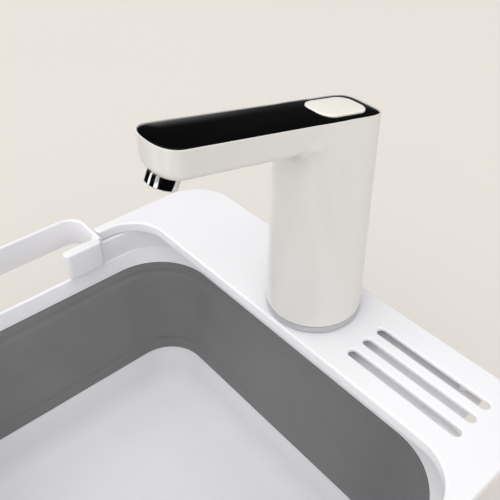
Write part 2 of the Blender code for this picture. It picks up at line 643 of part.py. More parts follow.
def cover_parts(tap):
    black = material("black_gloss", BLACK, 0.08)
    cover = sloped("top_cover", top_outline(COVER_INSET + 0.25 * MM), 0.0, COVER_THICK - GAP, black, tap)
    half_x, half_y = BUTTON_SIZE[0] / 2, BUTTON_SIZE[1] / 2
    centre = (0.0, -BUTTON_AT)
    cut(cover, sloped("hole", rounded_rect(half_x, half_y, 9 * MM, centre), -2 * MM, 4 * MM))
    cover.parent = tap

    button_axis = axis_empty("button_axis", (0.0, -BUTTON_AT, top_z(-BUTTON_AT)), tap, (-TILT, 0, 0))
    loops = []
    for inset, z in ((0.35, -4.0), (0.35, 0.3), (0.9, 1.1), (2.6, 1.6)):
        loops.append([(x, y, z * MM) for x, y in rounded_rect(half_x - inset * MM, half_y - inset * MM,
                                                              (9.0 - inset) * MM)])
    button = loft("push_button", loops, material("ivory_plastic", IVORY, 0.35), button_axis)
    stem = turned("stem", [(2.6 * MM, -9.0 * MM), (2.6 * MM, -3.9 * MM)], sides=16)
    join(button, stem)
    button.parent = button_axis

    switch = box("button_switch", (-3.5 * MM, -3.5 * MM, -14.4 * MM), (3.5 * MM, 3.5 * MM, -10.6 * MM), 0.6 * MM,
                 material("black_plastic", RUBBER, 0.5), button_axis)
    join(switch, turned("dome", [(1.8 * MM, -11.0 * MM), (1.8 * MM, -10.4 * MM)], sides=16))
    switch.parent = button_axis
    board = box("control_board", (-13 * MM, -17 * MM, -16.3 * MM), (13 * MM, 17 * MM, -14.7 * MM), 1.5 * MM,
                material("circuit_board", BOARD, 0.4), button_axis)
    return cover, button, switch, board


def nozzle_parts(tap):
    chrome = material("chrome", SILVER, 0.06, 1.0)
    under, outer, inner = UNDERSIDE, AERATOR_RADIUS, AERATOR_BORE
    low = under - AERATOR_DROP
    aerator = turned_ring("aerator_housing", [
        (inner, low + 0.4 * MM), (inner + 0.5 * MM, low), (outer - 0.6 * MM, low), (outer, low + 0.6 * MM),
        (outer, under + 3.2 * MM), (inner, under + 3.2 * MM)], chrome, None, sides=36)
    leaning(aerator).parent = tap
    screen = turned("aerator_screen", [(inner - GAP, low + 1.2 * MM), (inner - GAP, low + 2.6 * MM)],
                    material("steel_mesh", SILVER, 0.3, 1.0), None, sides=32)
    for ring, count in ((0.0, 1), (4.2 * MM, 6)):
        for k in range(count):
            angle = math.tau * k / count
            cut(screen, turned("hole", [(1.2 * MM, low), (1.2 * MM, low + 4 * MM)], sides=8,
                               centre=(ring * math.cos(angle), ring * math.sin(angle))))
    leaning(screen).parent = tap
    washer = turned_ring("aerator_washer", [
        (4.2 * MM, low + 3.0 * MM), (inner - GAP, low + 3.0 * MM), (inner - GAP, low + 4.8 * MM),
        (4.2 * MM, low + 4.8 * MM)], material("black_rubber", RUBBER, 0.7), None, sides=28)
    leaning(washer).parent = tap
    adapter = turned("nozzle_adapter", [
        (inner - GAP, low + 5.1 * MM), (inner - GAP, under + 3.0 * MM), (inner - GAP, under + 4.0 * MM),
        (8.3 * MM, under + 4.0 * MM), (8.3 * MM, -5.4 * MM), (6.0 * MM, -4.2 * MM)],
        material("white_pp", WHITE, 0.35), None, sides=28)
    cut(adapter, turned("bore", [(3.0 * MM, low), (3.0 * MM, -9.5 * MM)], sides=16))
    leaning(adapter).parent = tap
    sensor = turned("sensor_window", [
        (2.2 * MM, under - 3.0 * MM), (3.1 * MM, under - 2.0 * MM), (3.1 * MM, under + 2.6 * MM),
        (4.4 * MM, under + 2.6 * MM), (4.4 * MM, under + 4.0 * MM)],
        material("smoke_plastic", (0.45, 0.45, 0.46), 0.25), None, sides=20)
    on_slope(sensor, SENSOR_AT).parent = tap
    return aerator, screen, washer, adapter, sensor


def smooth_route(points, steps):
    """Points on a smooth curve through the given points."""
    points = [Vector(p) for p in points]
    padded = [2 * points[0] - points[1]] + points + [2 * points[-1] - points[-2]]
    route = []
    for k in range(1, len(padded) - 2):
        a, b, c, d = padded[k - 1:k + 3]
        for s in range(steps):
            t = s / steps
            route.append(0.5 * (2 * b + (c - a) * t + (2 * a - 5 * b + 4 * c - d) * t ** 2
                                + (3 * b - a - 3 * c + d) * t ** 3))
    return route + [points[-1]]


def tube(name, points, radius, finish, parent):
    data = bpy.data.curves.new(name, "CURVE")
    data.dimensions = "3D"
    data.bevel_depth = radius
    data.bevel_resolution = 2
    data.use_fill_caps = True
    spline = data.splines.new("POLY")
    spline.points.add(len(points) - 1)
    for slot, point in zip(spline.points, points):
        slot.co = (*point, 1.0)
    data.materials.append(finish)
    made = bpy.data.objects.new(name, data)
    bpy.context.scene.collection.objects.link(made)
    made.parent = parent
    return made


def drive_parts(tap):
    """Pump, motor, battery and their carrier inside the column."""
    white = material("white_pp", WHITE, 0.35)
    dark = material("black_plastic", RUBBER, 0.5)
    at = (0.0, PUMP_Y)
    base = turned("shell_base", [(TAP_RADIUS - SHELL_WALL - 0.4 * MM, 6.6 * MM),
                                 (TAP_RADIUS - SHELL_WALL - 0.5 * MM, 9.2 * MM)], white, tap, sides=36)
    cut(base, turned("hole", [(6.6 * MM, 0.0), (6.6 * MM, 20 * MM)], sides=28))
    pump = turned("pump_housing", [(15.0 * MM, 12.0 * MM), (16.0 * MM, 13.0 * MM), (16.0 * MM, 28.0 * MM)],
                  dark, tap, at, 24)
    cut(pump, turned("chamber", [(13.6 * MM, 14.2 * MM), (13.6 * MM, 30 * MM)], centre=at))
    cut(pump, turned("inlet", [(4.0 * MM, 5 * MM), (4.0 * MM, 20 * MM)], sides=20))
    lid = turned("pump_lid", [(16.0 * MM, 28.3 * MM), (16.0 * MM, 30.2 * MM), (15.0 * MM, 31.4 * MM)],
                 dark, tap, at, 24)
    cut(lid, turned("hole", [(1.8 * MM, 20 * MM), (1.8 * MM, 40 * MM)], centre=at, sides=16))
    motor = turned("pump_motor", [(1.0 * MM, 20.0 * MM), (1.0 * MM, 31.8 * MM), (10.6 * MM, 31.8 * MM),
                                  (11.0 * MM, 32.4 * MM), (11.0 * MM, 58 * MM), (9.0 * MM, 59 * MM),
                                  (3.0 * MM, 59 * MM), (3.0 * MM, 61 * MM)],
                   material("steel_can", SILVER, 0.3, 1.0), tap, at, 20)
    impeller_axis = axis_empty("impeller_axis", (0.0, PUMP_Y, 0.0), tap)
    impeller = turned("impeller", [(12.6 * MM, 14.8 * MM), (12.6 * MM, 16.0 * MM), (3.4 * MM, 16.4 * MM),
                                   (3.4 * MM, 25.0 * MM)], material("white_nut", WHITE, 0.4), None, sides=30)
    for k in range(6):
        vane = box("vane", (2.0 * MM, -0.6 * MM, 15.5 * MM), (12.2 * MM, 0.6 * MM, 24.0 * MM))
        join(impeller, place(vane, turn=(0, 0, 60 * k)))
    cut(impeller, turned("bore", [(1.3 * MM, 18.6 * MM), (1.3 * MM, 40 * MM)], sides=16))
    impeller.parent = impeller_axis
    battery = turned("battery_cell", [(8.6 * MM, 12.4 * MM), (9.1 * MM, 12.9 * MM), (9.1 * MM, 75.4 * MM),
                                      (8.4 * MM, 76.0 * MM), (2.8 * MM, 76.0 * MM), (2.8 * MM, 77.4 * MM)],
                     material("battery_wrap", BATTERY, 0.4), tap, (0.0, BATTERY_Y), 28)
    holder = turned("battery_holder", [(10.4 * MM, 9.5 * MM), (10.4 * MM, 26 * MM)], dark, None,
                    (0.0, BATTERY_Y), 28)
    cut(holder, turned("pocket", [(9.4 * MM, 12.1 * MM), (9.4 * MM, 30 * MM)], centre=(0.0, BATTERY_Y), sides=28))
    holder.parent = tap
    route = smooth_route([(13.2 * MM, -16 * MM, 31.8 * MM), (13.2 * MM, -16 * MM, 50 * MM),
                          (11.5 * MM, -16.5 * MM, 66 * MM), (3.0 * MM, -20.0 * MM, 92 * MM),
                          (0.0, -20.5 * MM, 118 * MM), (0.0, -21 * MM, 134 * MM), (0.0, -28 * MM, 144.5 * MM),
                          (0.0, -52 * MM, top_z(-52 * MM, 9.5 * MM)), (0.0, -76 * MM, top_z(-76 * MM, 9.4 * MM)),
                          (0.0, TUBE_END, top_z(TUBE_END, 9.3 * MM))], 3)
    outlet = tube("outlet_tube", route, 3.2 * MM, material("clear_tube", (0.75, 0.77, 0.78), 0.25), tap)
    socket = box("charge_socket", (-4.4 * MM, 21.5 * MM, PORT_Z - 1.8 * MM), (4.4 * MM, 28.6 * MM, PORT_Z + 1.8 * MM),
                 0.0, material("steel_can", SILVER, 0.3, 1.0), tap)
    hollow = box("mouth", (-3.8 * MM, 23.0 * MM, PORT_Z - 1.2 * MM), (3.8 * MM, 30.0 * MM, PORT_Z + 1.2 * MM))
    cut(socket, hollow)
    join(socket, box("tongue", (-2.8 * MM, 22.0 * MM, PORT_Z - 0.4 * MM), (2.8 * MM, 27.4 * MM, PORT_Z + 0.4 * MM)))
    socket.parent = tap
    flap_axis = axis_empty("flap_axis", (0.0, 33.3 * MM, PORT_Z - 5.2 * MM), tap)
    flap = prism("charge_flap", rounded_rect(7.4 * MM, 4.6 * MM, 2.2 * MM), 0.0, 1.5 * MM,
                 material("grey_tpe", GREY_TPE, 0.6))
    join(flap, prism("plug", rounded_rect(4.2 * MM, 1.7 * MM, 1.2 * MM), -1.6 * MM, 0.2 * MM))
    place(flap, (0.0, -0.9 * MM, 5.2 * MM), (90, 0, 180))
    flap.parent = flap_axis
    return base, pump, lid, motor, impeller, battery, holder, outlet, socket, flap


# ---------------------------------------------------------------- fixed foot of the tap
def tap_foot():
    at = (TAP_X, TAP_Y)
    top = DECK_TOP
    trim = turned_ring("base_trim_ring", [
        (TAP_RADIUS - 2.6 * MM, top + GAP), (TAP_RADIUS + 0.1 * MM, top + GAP),
        (TAP_RADIUS + 0.1 * MM, top + TRIM_HEIGHT - 0.6 * MM), (TAP_RADIUS - 0.5 * MM, top + TRIM_HEIGHT),
        (TAP_RADIUS - 2.6 * MM, top + TRIM_HEIGHT)], material("silver_trim", (0.72, 0.73, 0.75), 0.25), centre=at,
        sides=40)
    gasket = turned_ring("base_gasket", [
        (24.5 * MM, top + GAP), (29.0 * MM, top + GAP), (29.0 * MM, top + 1.2 * MM), (24.5 * MM, top + 1.2 * MM)],
        material("black_rubber", RUBBER, 0.7), centre=at, sides=28)
    base = turned("swivel_base", [
        (24.0 * MM, top + GAP), (24.0 * MM, top + 1.5 * MM), (29.9 * MM, top + 1.5 * MM), (29.9 * MM, top + 5.4 * MM),
        (8.0 * MM, top + 5.4 * MM), (6.2 * MM, top + 6.2 * MM), (6.2 * MM, top + 11.6 * MM)],
        material("white_pp", WHITE, 0.35), centre=at, sides=28)
    barb_at = (TAP_X, TAP_Y + HOSE_BACK)
    barb = turned("barb", [(3.6 * MM, top - 36 * MM), (5.0 * MM, top - 33 * MM), (4.2 * MM, top - 32.9 * MM),
                           (4.2 * MM, top - 30 * MM), (5.0 * MM, top - 27 * MM), (4.2 * MM, top - 26.9 * MM),
                           (4.2 * MM, top - 18 * MM), (5.6 * MM, top - 18 * MM), (5.6 * MM, top + 1 * MM)],
                  centre=barb_at, sides=16)
    join(base, barb)
    cut(base, turned("bore", [(2.6 * MM, top - 45 * MM), (2.6 * MM, top + 3.4 * MM)], centre=barb_at, sides=16))
    cut(base, turned("bore", [(3.4 * MM, top + 2.0 * MM), (3.4 * MM, top + 20 * MM)], centre=at, sides=20))
    channel = box("channel", (TAP_X - 2 * MM, TAP_Y, top + 2.0 * MM), (TAP_X + 2 * MM, TAP_Y + HOSE_BACK, top + 3.3 * MM))
    cut(base, channel)
    for x, y in BASE_SCREWS:
        cut(base, turned("hole", [(1.75 * MM, top - 5 * MM), (1.75 * MM, top + 4.2 * MM)], centre=(x, y), sides=14))
    clip = turned_ring("swivel_clip", [
        (6.5 * MM, top + 9.6 * MM), (8.3 * MM, top + 9.6 * MM), (8.3 * MM, top + 10.8 * MM), (6.5 * MM, top + 10.8 * MM)],
        material("zinc_screw", SILVER, 0.3, 1.0), centre=at, sides=28)
    cut(clip, box("split", (TAP_X - 12 * MM, TAP_Y - 1.6 * MM, top), (TAP_X - 4 * MM, TAP_Y + 1.6 * MM, top + 20 * MM)))
    seat = DECK_TOP - DECK_PLATE - GAP
    screws = [screw(f"base_screw_{k + 1}", x, y, seat, 6.2 * MM, 1.4 * MM, 3.2 * MM)
              for k, (x, y) in enumerate(BASE_SCREWS)]
    screws += [screw(f"tray_screw_{k + 1}", x, y, TRAY_LOW - GAP, 7.4 * MM, 1.0 * MM, 2.9 * MM)
               for k, (x, y) in enumerate(TRAY_SCREWS)]
    return trim, gasket, base, clip, screws


def main():
    for old in list(bpy.data.objects):
        bpy.data.objects.remove(old, do_unlink=True)
    base_tub()
    collapsible_wall()
    join(rim_ring(), open_hand_gaps(rim_band()))
    handle("handle_left", -1)
    handle("handle_right", 1)
    deck_plate()
    deck_tray()
    drain_parts()
    for k, (sx, sy) in enumerate(((-1, -1), (1, -1), (-1, 1), (1, 1))):
        foot(f"foot_{k + 1}", sx, sy)
    tap_foot()
    tap = axis_empty("tap_axis", (TAP_X, TAP_Y, DECK_TOP), turn=(0, 0, TAP_TURN))
    faucet_shell(tap)
    cover_parts(tap)
    nozzle_parts(tap)
    drive_parts(tap)
    bpy.context.view_layer.update()


main()
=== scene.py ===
"""Portable handwash sink: visible surfaces, finishes, stage and camera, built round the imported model.

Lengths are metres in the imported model's own frame: +Z up, +X along the rear deck, +Y from the
basin towards the deck.  Every new piece is a grid of points worked out with whole numpy arrays.
"""
import json
import math

import bmesh
import bpy
import numpy as np
from bpy.props import FloatProperty, FloatVectorProperty, PointerProperty
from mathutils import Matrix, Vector
from mathutils.geometry import tessellate_polygon


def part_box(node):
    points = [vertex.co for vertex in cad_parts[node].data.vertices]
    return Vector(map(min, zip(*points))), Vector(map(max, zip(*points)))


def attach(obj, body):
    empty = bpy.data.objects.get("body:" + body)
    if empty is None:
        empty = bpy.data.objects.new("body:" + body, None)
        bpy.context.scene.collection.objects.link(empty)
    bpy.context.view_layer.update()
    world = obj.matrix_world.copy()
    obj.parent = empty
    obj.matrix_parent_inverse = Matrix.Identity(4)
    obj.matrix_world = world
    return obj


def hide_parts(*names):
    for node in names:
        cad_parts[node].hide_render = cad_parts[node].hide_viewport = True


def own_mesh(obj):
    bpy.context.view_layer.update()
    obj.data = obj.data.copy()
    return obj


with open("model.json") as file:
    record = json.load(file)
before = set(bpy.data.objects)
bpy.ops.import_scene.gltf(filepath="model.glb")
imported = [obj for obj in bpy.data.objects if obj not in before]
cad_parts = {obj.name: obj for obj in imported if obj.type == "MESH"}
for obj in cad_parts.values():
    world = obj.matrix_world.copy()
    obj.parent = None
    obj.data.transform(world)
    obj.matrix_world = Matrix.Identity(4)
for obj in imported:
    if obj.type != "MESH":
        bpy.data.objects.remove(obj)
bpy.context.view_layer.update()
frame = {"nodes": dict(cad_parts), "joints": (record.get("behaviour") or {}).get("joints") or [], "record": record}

bl_info = {
    "name": "Portable handwash sink",
    "version": (1, 0, 0),
    "blender": (4, 5, 0),
    "location": "3D View > Sidebar > Sink",
    "description": "Builds a folding wash basin with handles, rear deck and swivelling pump tap",
    "category": "Add Mesh",
}

MM = 0.001
JOINTS = {joint["name"]: joint for joint in frame["joints"]}

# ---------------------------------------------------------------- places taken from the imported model
DECK_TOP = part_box("deck_plate")[1].z
DECK_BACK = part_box("deck_plate")[1].y
BASIN_Y = (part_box("collapsible_wall")[0].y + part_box("collapsible_wall")[1].y) / 2
TUB_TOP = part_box("base_tub")[1].z
FLOOR_TOP = DECK_TOP - 172.0 * MM
TAP_AT = Vector(JOINTS["faucet_swivel"]["pos_m"])
TAP_TURN = math.radians(-2.7)

# ---------------------------------------------------------------- basin
FEET_AT = (92.0 * MM, 80.0 * MM)    # from the basin's middle
TUB_HALF = (138.9 * MM, 126.7 * MM)
TUB_CORNER = 34.0 * MM
TUB_WALL = 2.6 * MM
TUB_DRAFT = 9.0 * MM
TUB_FILLET = 16.0 * MM
DRAIN_HOLE = 15.5 * MM
DRAIN_FLANGE = 22.0 * MM
DRAIN_THROAT = 11.0 * MM
RING_HALF = (152.8 * MM, 137.0 * MM)
RING_CORNER = 50.0 * MM
RING_WALL = 6.6 * MM
RING_DRAFT = 3.5 * MM               # how much the ring opens from its foot to the ledge
RING_BOTTOM = DECK_TOP - 42.0 * MM
LEDGE = DECK_TOP - 29.5 * MM
WALL_SKIN = 2.2 * MM
WALL_FOLD = (0.7, 0.028)            # height in mm and width in shares of the wall, of the folds near top and foot
WALL_SWELL = 0.9                    # mm
WALL_GAP = 0.3 * MM

# ---------------------------------------------------------------- rim, handles, deck
BAND_HALF = (157.8 * MM, 141.0 * MM)
BAND_CORNER = 45.0 * MM
BAND_WALL = 2.5 * MM
FLANGE = 8.2 * MM
BAND_TOP = DECK_TOP - 9.3 * MM
BAND_FOOT = LEDGE - 1.5 * MM
BACK_WALL = (118.0 * MM, DECK_TOP - 13.0 * MM)          # half length and top of the band under the deck
STRAP_OUTER = 196.0 * MM
STRAP_WALL = 3.2 * MM
STRAP_DEPTH = 25.0 * MM
STRAP_HALF_Y = 76.0 * MM
STRAP_CORNER = 16.0 * MM
BLOCK_X = (149.6 * MM, 158.5 * MM)
BLOCK_Y = (42.3 * MM, 73.9 * MM)
BLOCK_FILLET, BLOCK_CORNER, BLOCK_EDGE = 9.0 * MM, 3.6 * MM, 1.7 * MM
HAND_GAP = STRAP_HALF_Y + 0.5 * MM
DECK_HALF_X = 169.0 * MM
DECK_INNER = DECK_BACK - 72.7 * MM
DECK_CORNER = 38.0 * MM
DECK_PLATE = 2.6 * MM
LIP_DEPTH = 8.5 * MM
LIP_WALL = 2.4 * MM
ARM_INNER_X = 160.3 * MM
ARM_BEND = 31.0 * MM
ARM_END = BASIN_Y + STRAP_HALF_Y + 0.6 * MM
SLOT_X = (56.4 * MM, 141.8 * MM)
SLOT_WIDTH = 6.7 * MM
SLOT_ROWS = tuple(BASIN_Y + y * MM for y in (164.6, 150.4, 135.9))
SCREW_RING, SCREW_HOLE = 22.0 * MM, 1.9 * MM
HOSE_HOLE, HOSE_BACK = 6.4 * MM, 16.5 * MM
BOSS_X, BOSS_BACK, BOSS_RADIUS = 120.0 * MM, (15.0 * MM, 62.0 * MM), 3.2 * MM

# ---------------------------------------------------------------- tap, in its own frame, millimetres
TAP_RADIUS = 32.9
TRIM_HEIGHT = 6.0
FOOT = 6.3                          # where the column starts above the deck
RISE = 0.182                        # slope of the top, rising towards the spout's end
TOP = 147.3                         # height of the top on the swivel axis
TOP_HALF = (17.4, 31.1)
REAR_POWER = 0.38
REACH = 117.7
CAP = 12.5
CAP_POWER = 0.82
THICK = 17.6
LOWER_EDGE = 4.8
SHELL_WALL = 2.0
COVER_INSET = 1.0
COVER_THICK = 1.8
COVER_GAP, COVER_CROWN = 0.25, 0.9
BUTTON_HALF = (12.0, 18.5)
BUTTON_CORNER = 9.0
BUTTON_BACK = 5.0                   # middle of the button behind the swivel axis
BUTTON_GAP, BUTTON_TOP = 0.35, 1.4
AERATOR_AT = 104.5
AERATOR_RADIUS = 8.8
AERATOR_DROP = 8.6
AERATOR_LEAN = math.radians(15.0)  # further forward than square to the top
SENSOR_AT = 89.6
PORT_Z, PORT_HALF = 93.0, (5.0, 2.4)
OUTLET_HOLE, SENSOR_HOLE = AERATOR_RADIUS + 0.3, 3.5
TILT = math.atan(RISE)
UNDER = -THICK * math.cos(TILT)     # spout underside, square to the top


# ---------------------------------------------------------------- profiles and grids
def rounded(points, radii, steps=6, closed=False):
    """Polyline whose corners become arcs.

    Each corner is the rational quadratic curve from a to b by way of the corner, weighted by the
    sine of half the corner's angle, which is a true circle arc of the given radius.
    """
    at = np.asarray(points, float)
    radius = np.broadcast_to(np.asarray(radii, float), len(at)).copy()
    if not closed:
        radius[[0, -1]] = 0.0
    back, ahead = np.roll(at, 1, 0) - at, np.roll(at, -1, 0) - at
    back /= np.maximum(np.linalg.norm(back, axis=1, keepdims=True), 1e-12)
    ahead /= np.maximum(np.linalg.norm(ahead, axis=1, keepdims=True), 1e-12)
    half = np.arccos(np.clip((back * ahead).sum(1), -0.999999, 0.999999)) / 2
    reach = (radius / np.tan(half))[:, None, None]
    s = np.linspace(0.0, 1.0, steps + 1)[None, :, None]
    weight = np.sin(half)[:, None, None] * 2 * s * (1 - s)
    start, end, middle = at[:, None] + back[:, None] * reach, at[:, None] + ahead[:, None] * reach, at[:, None]
    curve = ((1 - s) ** 2 * start + weight * middle + s ** 2 * end) / ((1 - s) ** 2 + weight + s ** 2)
    curve = curve.reshape(-1, at.shape[1])
    fresh = np.linalg.norm(np.diff(curve, axis=0), axis=1) > 1e-7
    curve = curve[np.concatenate(([True], fresh))]
    if closed and np.linalg.norm(curve[0] - curve[-1]) < 1e-7:
        curve = curve[:-1]
    return curve


def rect_loops(half_x, half_y, radius, z, centre=(0.0, 0.0), steps=10):
    """Rounded rectangles, one for each entry of z: corner centre plus radius times (cos, sin)."""
    sizes = np.broadcast_arrays(half_x, half_y, radius, z)
    half_x, half_y, radius, z = (np.asarray(size, float)[:, None] for size in sizes)
    turn = (np.arange(4)[:, None] * math.pi / 2 + np.linspace(0.0, math.pi / 2, steps + 1)).ravel()
    side_x, side_y = (np.repeat(v, steps + 1) for v in ((1, -1, -1, 1), (1, 1, -1, -1)))
    x = centre[0] + side_x * (half_x - radius) + radius * np.cos(turn)
    y = centre[1] + side_y * (half_y - radius) + radius * np.sin(turn)
    return np.stack(np.broadcast_arrays(x, y, z), -1)


def revolve(profile, sides=96, centre=(0.0, 0.0)):
    """Profile of (radius, z) turned about an upright axis: x = radius cos, y = radius sin."""
    turn = np.linspace(0.0, math.tau, sides, endpoint=False)
    radius, z = np.asarray(profile, float).T[:, :, None]
    x, y = centre[0] + radius * np.cos(turn), centre[1] + radius * np.sin(turn)
    return np.stack(np.broadcast_arrays(x, y, z), -1)


def carried(path_at, section):
    """A section of (inset, z) carried along a path: row k is the path moved in by inset k, at height z k."""
    return np.stack([np.column_stack((path_at(inset), np.full(len(path_at(inset)), z))) for inset, z in section])


def quads(grid, around=True, along=False):
    """Points and faces of a (rows, columns, 3) grid; around joins the last column to the first, along the rows."""
    rows, columns = grid.shape[:2]
    r = np.arange(rows if along else rows - 1)[:, None]
    c = np.arange(columns if around else columns - 1)[None, :]
    up, side = (r + 1) % rows, (c + 1) % columns
    faces = np.stack([r * columns + c, r * columns + side, up * columns + side, up * columns + c], -1)
    return grid.reshape(-1, 3), faces.reshape(-1, 4).tolist()


def capped(grid, around=True):
    """A tube of rows whose first and last rows are filled with one face each."""
    points, faces = quads(grid, around)
    count = grid.shape[1]
    last = len(points) - count
    return points, faces + [list(range(count))[::-1], list(range(last, last + count))]


def finish_mesh(name, parts, sharp=38.0, recalc=True):
    """One mesh from (points, faces) parts: doubles merged, faces outward, smooth up to the sharp angle in degrees."""
    points, faces, first = [], [], 0
    for part_points, part_faces in parts:
        points.append(part_points)
        faces += [[first + k for k in face] for face in part_faces]
        first += len(part_points)
    mesh = bpy.data.meshes.new(name)
    mesh.from_pydata(np.concatenate(points).tolist(), [], faces)
    work = bmesh.new()
    work.from_mesh(mesh)
    bmesh.ops.remove_doubles(work, verts=work.verts, dist=2e-6)
    bmesh.ops.dissolve_degenerate(work, edges=work.edges, dist=1e-7)
    if recalc:
        bmesh.ops.recalc_face_normals(work, faces=work.faces)
    work.to_mesh(mesh)
    work.free()
    mesh.shade_smooth()
    mesh.set_sharp_from_angle(angle=math.radians(sharp))
    return mesh


def piece(name, parts, body, slot, *nodes, sharp=38.0):
    """A named piece with its finish, riding on a body and standing for the given nodes."""
    made = bpy.data.objects.new(name, finish_mesh(name, parts, sharp))
    bpy.context.scene.collection.objects.link(made)
    made.data.materials.append(finish_of(slot))
    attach(made, body)
    if nodes:
        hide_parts(*nodes)
    return made


def carve(target, *cutters):
    """Take closed parts out of a piece and keep the result as its mesh."""
    for number, parts in enumerate(cutters):
        tool = bpy.data.objects.new(f"cutter_{number}", finish_mesh("cutter", parts))
        bpy.context.scene.collection.objects.link(tool)
        step = target.modifiers.new("carve", "BOOLEAN")
        step.operation, step.solver, step.object = "DIFFERENCE", "EXACT", tool
        bpy.context.view_layer.update()
        graph = bpy.context.evaluated_depsgraph_get()
        mesh = bpy.data.meshes.new_from_object(target.evaluated_get(graph), depsgraph=graph)
        target.modifiers.clear()
        target.data = mesh
        bpy.data.objects.remove(tool, do_unlink=True)
    target.data.name = target.name
    target.data.shade_smooth()
    target.data.set_sharp_from_angle(angle=math.radians(38.0))
    return target


def tap_to_world(points):
    """Tap points (x, y, z above the deck, millimetres) turned about the swivel axis and set on the deck."""
    x, y, z = np.moveaxis(np.asarray(points, float) * MM, -1, 0)
    c, s = math.cos(TAP_TURN), math.sin(TAP_TURN)
    return np.stack([TAP_AT.x + c * x - s * y, TAP_AT.y + s * x + c * y, DECK_TOP + z], -1)


def on_slope(points, forward):
    """Points modelled about Z stood square to the sloping top, forward of the swivel axis."""
    x, y, z = np.moveaxis(np.asarray(points, float), -1, 0)
    c, s = math.cos(TILT), math.sin(TILT)
    return np.stack([x, c * y + s * z - forward, c * z - s * y + TOP + RISE * forward], -1)


# ---------------------------------------------------------------- shader expressions
class Wire:
    """A shader value; arithmetic on it adds Math nodes to its tree."""

    def __init__(self, nodes, socket):
        self.nodes, self.socket = nodes, socket

    def _math(self, operation, first, second):
        return self.nodes.node("ShaderNodeMath", {"operation": operation}, {0: first, 1: second})

    def __add__(self, other):
        return self._math("ADD", self, other)

    def __sub__(self, other):
        return self._math("SUBTRACT", self, other)

    def __rsub__(self, other):
        return self._math("SUBTRACT", other, self)

    def __mul__(self, other):
        return self._math("MULTIPLY", self, other)

    def brighter(self, other):
        return self._math("MAXIMUM", self, other)

    __radd__, __rmul__ = __add__, __mul__


class Nodes:
    """A shader tree under construction."""

    def __init__(self, tree):
        self.tree = tree

    def feed(self, socket, value):
        """Link a wire to a socket, or set a constant on it."""
        if isinstance(value, Wire):
            self.tree.links.new(value.socket, socket)
        else:
            socket.default_value = value

    def node(self, kind, settings=None, values=None, output=0):
        """A node of this kind: its settings are set first, then its sockets' values or links."""
        made = self.tree.nodes.new(kind)
        for key, value in (settings or {}).items():
            setattr(made, key, value)
        for key, value in (values or {}).items():
            self.feed(made.inputs[key], value)
        return Wire(self, made.outputs[output])

    def ramp(self, value, low, high, start=0.0, end=1.0):
        """Value between low and high moved to start and end, clamped and eased."""
        return self.node("ShaderNodeMapRange", {"interpolation_type": "SMOOTHSTEP"},
                         {"Value": value, "From Min": low, "From Max": high, "To Min": start, "To Max": end})


class Finish(Nodes):
    """A material under construction, with the patterns that several finishes share."""

    def __init__(self, name):
        self.material = bpy.data.materials.new(name)
        self.material.use_nodes = True
        super().__init__(self.material.node_tree)
        self.shader = self.tree.nodes["Principled BSDF"]
        self.place = self.node("ShaderNodeTexCoord", output="Object")

    def noise(self, scale, detail=2.0, rough=0.5, stretch=None):
        """Noise value from 0 to 1; scale is in features per metre, stretch squeezes it along each axis."""
        place = self.place
        if stretch:
            place = self.node("ShaderNodeMapping", None, {"Vector": place, "Scale": stretch})
        return self.node("ShaderNodeTexNoise", None, {"Vector": place, "Scale": scale, "Detail": detail,
                                                      "Roughness": rough})

    def blend(self, share, first, second):
        """Two colours mixed by a share."""
        first, second = (value if isinstance(value, Wire) else (*value, 1.0) for value in (first, second))
        return self.node("ShaderNodeMix", {"data_type": "RGBA"}, {"Factor": share, 6: first, 7: second}, 2)

    def bump(self, height, strength, depth):
        """Normal pushed by a height from 0 to 1, depth metres deep."""
        return self.node("ShaderNodeBump", None, {"Height": height, "Strength": strength, "Distance": depth})

    def done(self, colour, roughness, normal=None, **fixed):
        """Link what varies, and set what is constant on the shader's own sockets."""
        given = {"Base Color": colour, "Roughness": roughness, "Normal": normal}
        given.update({key.replace("_", " "): value for key, value in fixed.items()})
        for key, value in given.items():
            if value is not None:
                self.feed(self.shader.inputs[key], value)
        return self.material


def shade(colour, factor):
    return tuple(min(1.0, channel * factor) for channel in colour)


def moulded(name, colour, rough, grain=650.0, depth=0.04, mottle=0.03, **fixed):
    """Injection-moulded plastic: faint flow clouds in its colour, fine spark-eroded grain, uneven sheen."""
    made = Finish(name)
    cloud, flow = made.noise(9.0, 3.0), made.noise(26.0, 2.0, 0.5, (1.0, 1.0, 0.25))
    fine, speck = made.noise(grain * 2.4, 2.0, 0.6), made.noise(grain, 3.0, 0.55)
    share = made.ramp(cloud * 0.6 + flow * 0.4, 0.3, 0.7)
    tone = made.blend(share, shade(colour, 1 - mottle), shade(colour, 1 + mottle))
    sheen = made.ramp(cloud, 0.25, 0.75, rough - 0.03, rough + 0.04) + (fine - 0.5) * 0.06
    return made.done(tone, sheen, made.bump(fine * 0.5 + speck * 0.5, 1.0, depth * MM), **fixed)


def rubber(name, colour, rough=0.62):
    """Soft rubber: powdery uneven sheen, fine pores, slightly lighter where it has been flexed."""
    made = Finish(name)
    cloud, pores = made.noise(14.0, 4.0), made.noise(1500.0, 3.0, 0.65)
    drag = made.noise(60.0, 3.0, 0.6, (1.0, 1.0, 3.0))
    tone = made.blend(made.ramp(cloud * 0.7 + drag * 0.3, 0.3, 0.72), shade(colour, 0.94), shade(colour, 1.07))
    sheen = made.ramp(drag, 0.25, 0.75, rough - 0.05, rough + 0.06)
    return made.done(tone, sheen, made.bump(pores * 0.7 + drag * 0.3, 1.0, 0.05 * MM), Specular_IOR_Level=0.35)


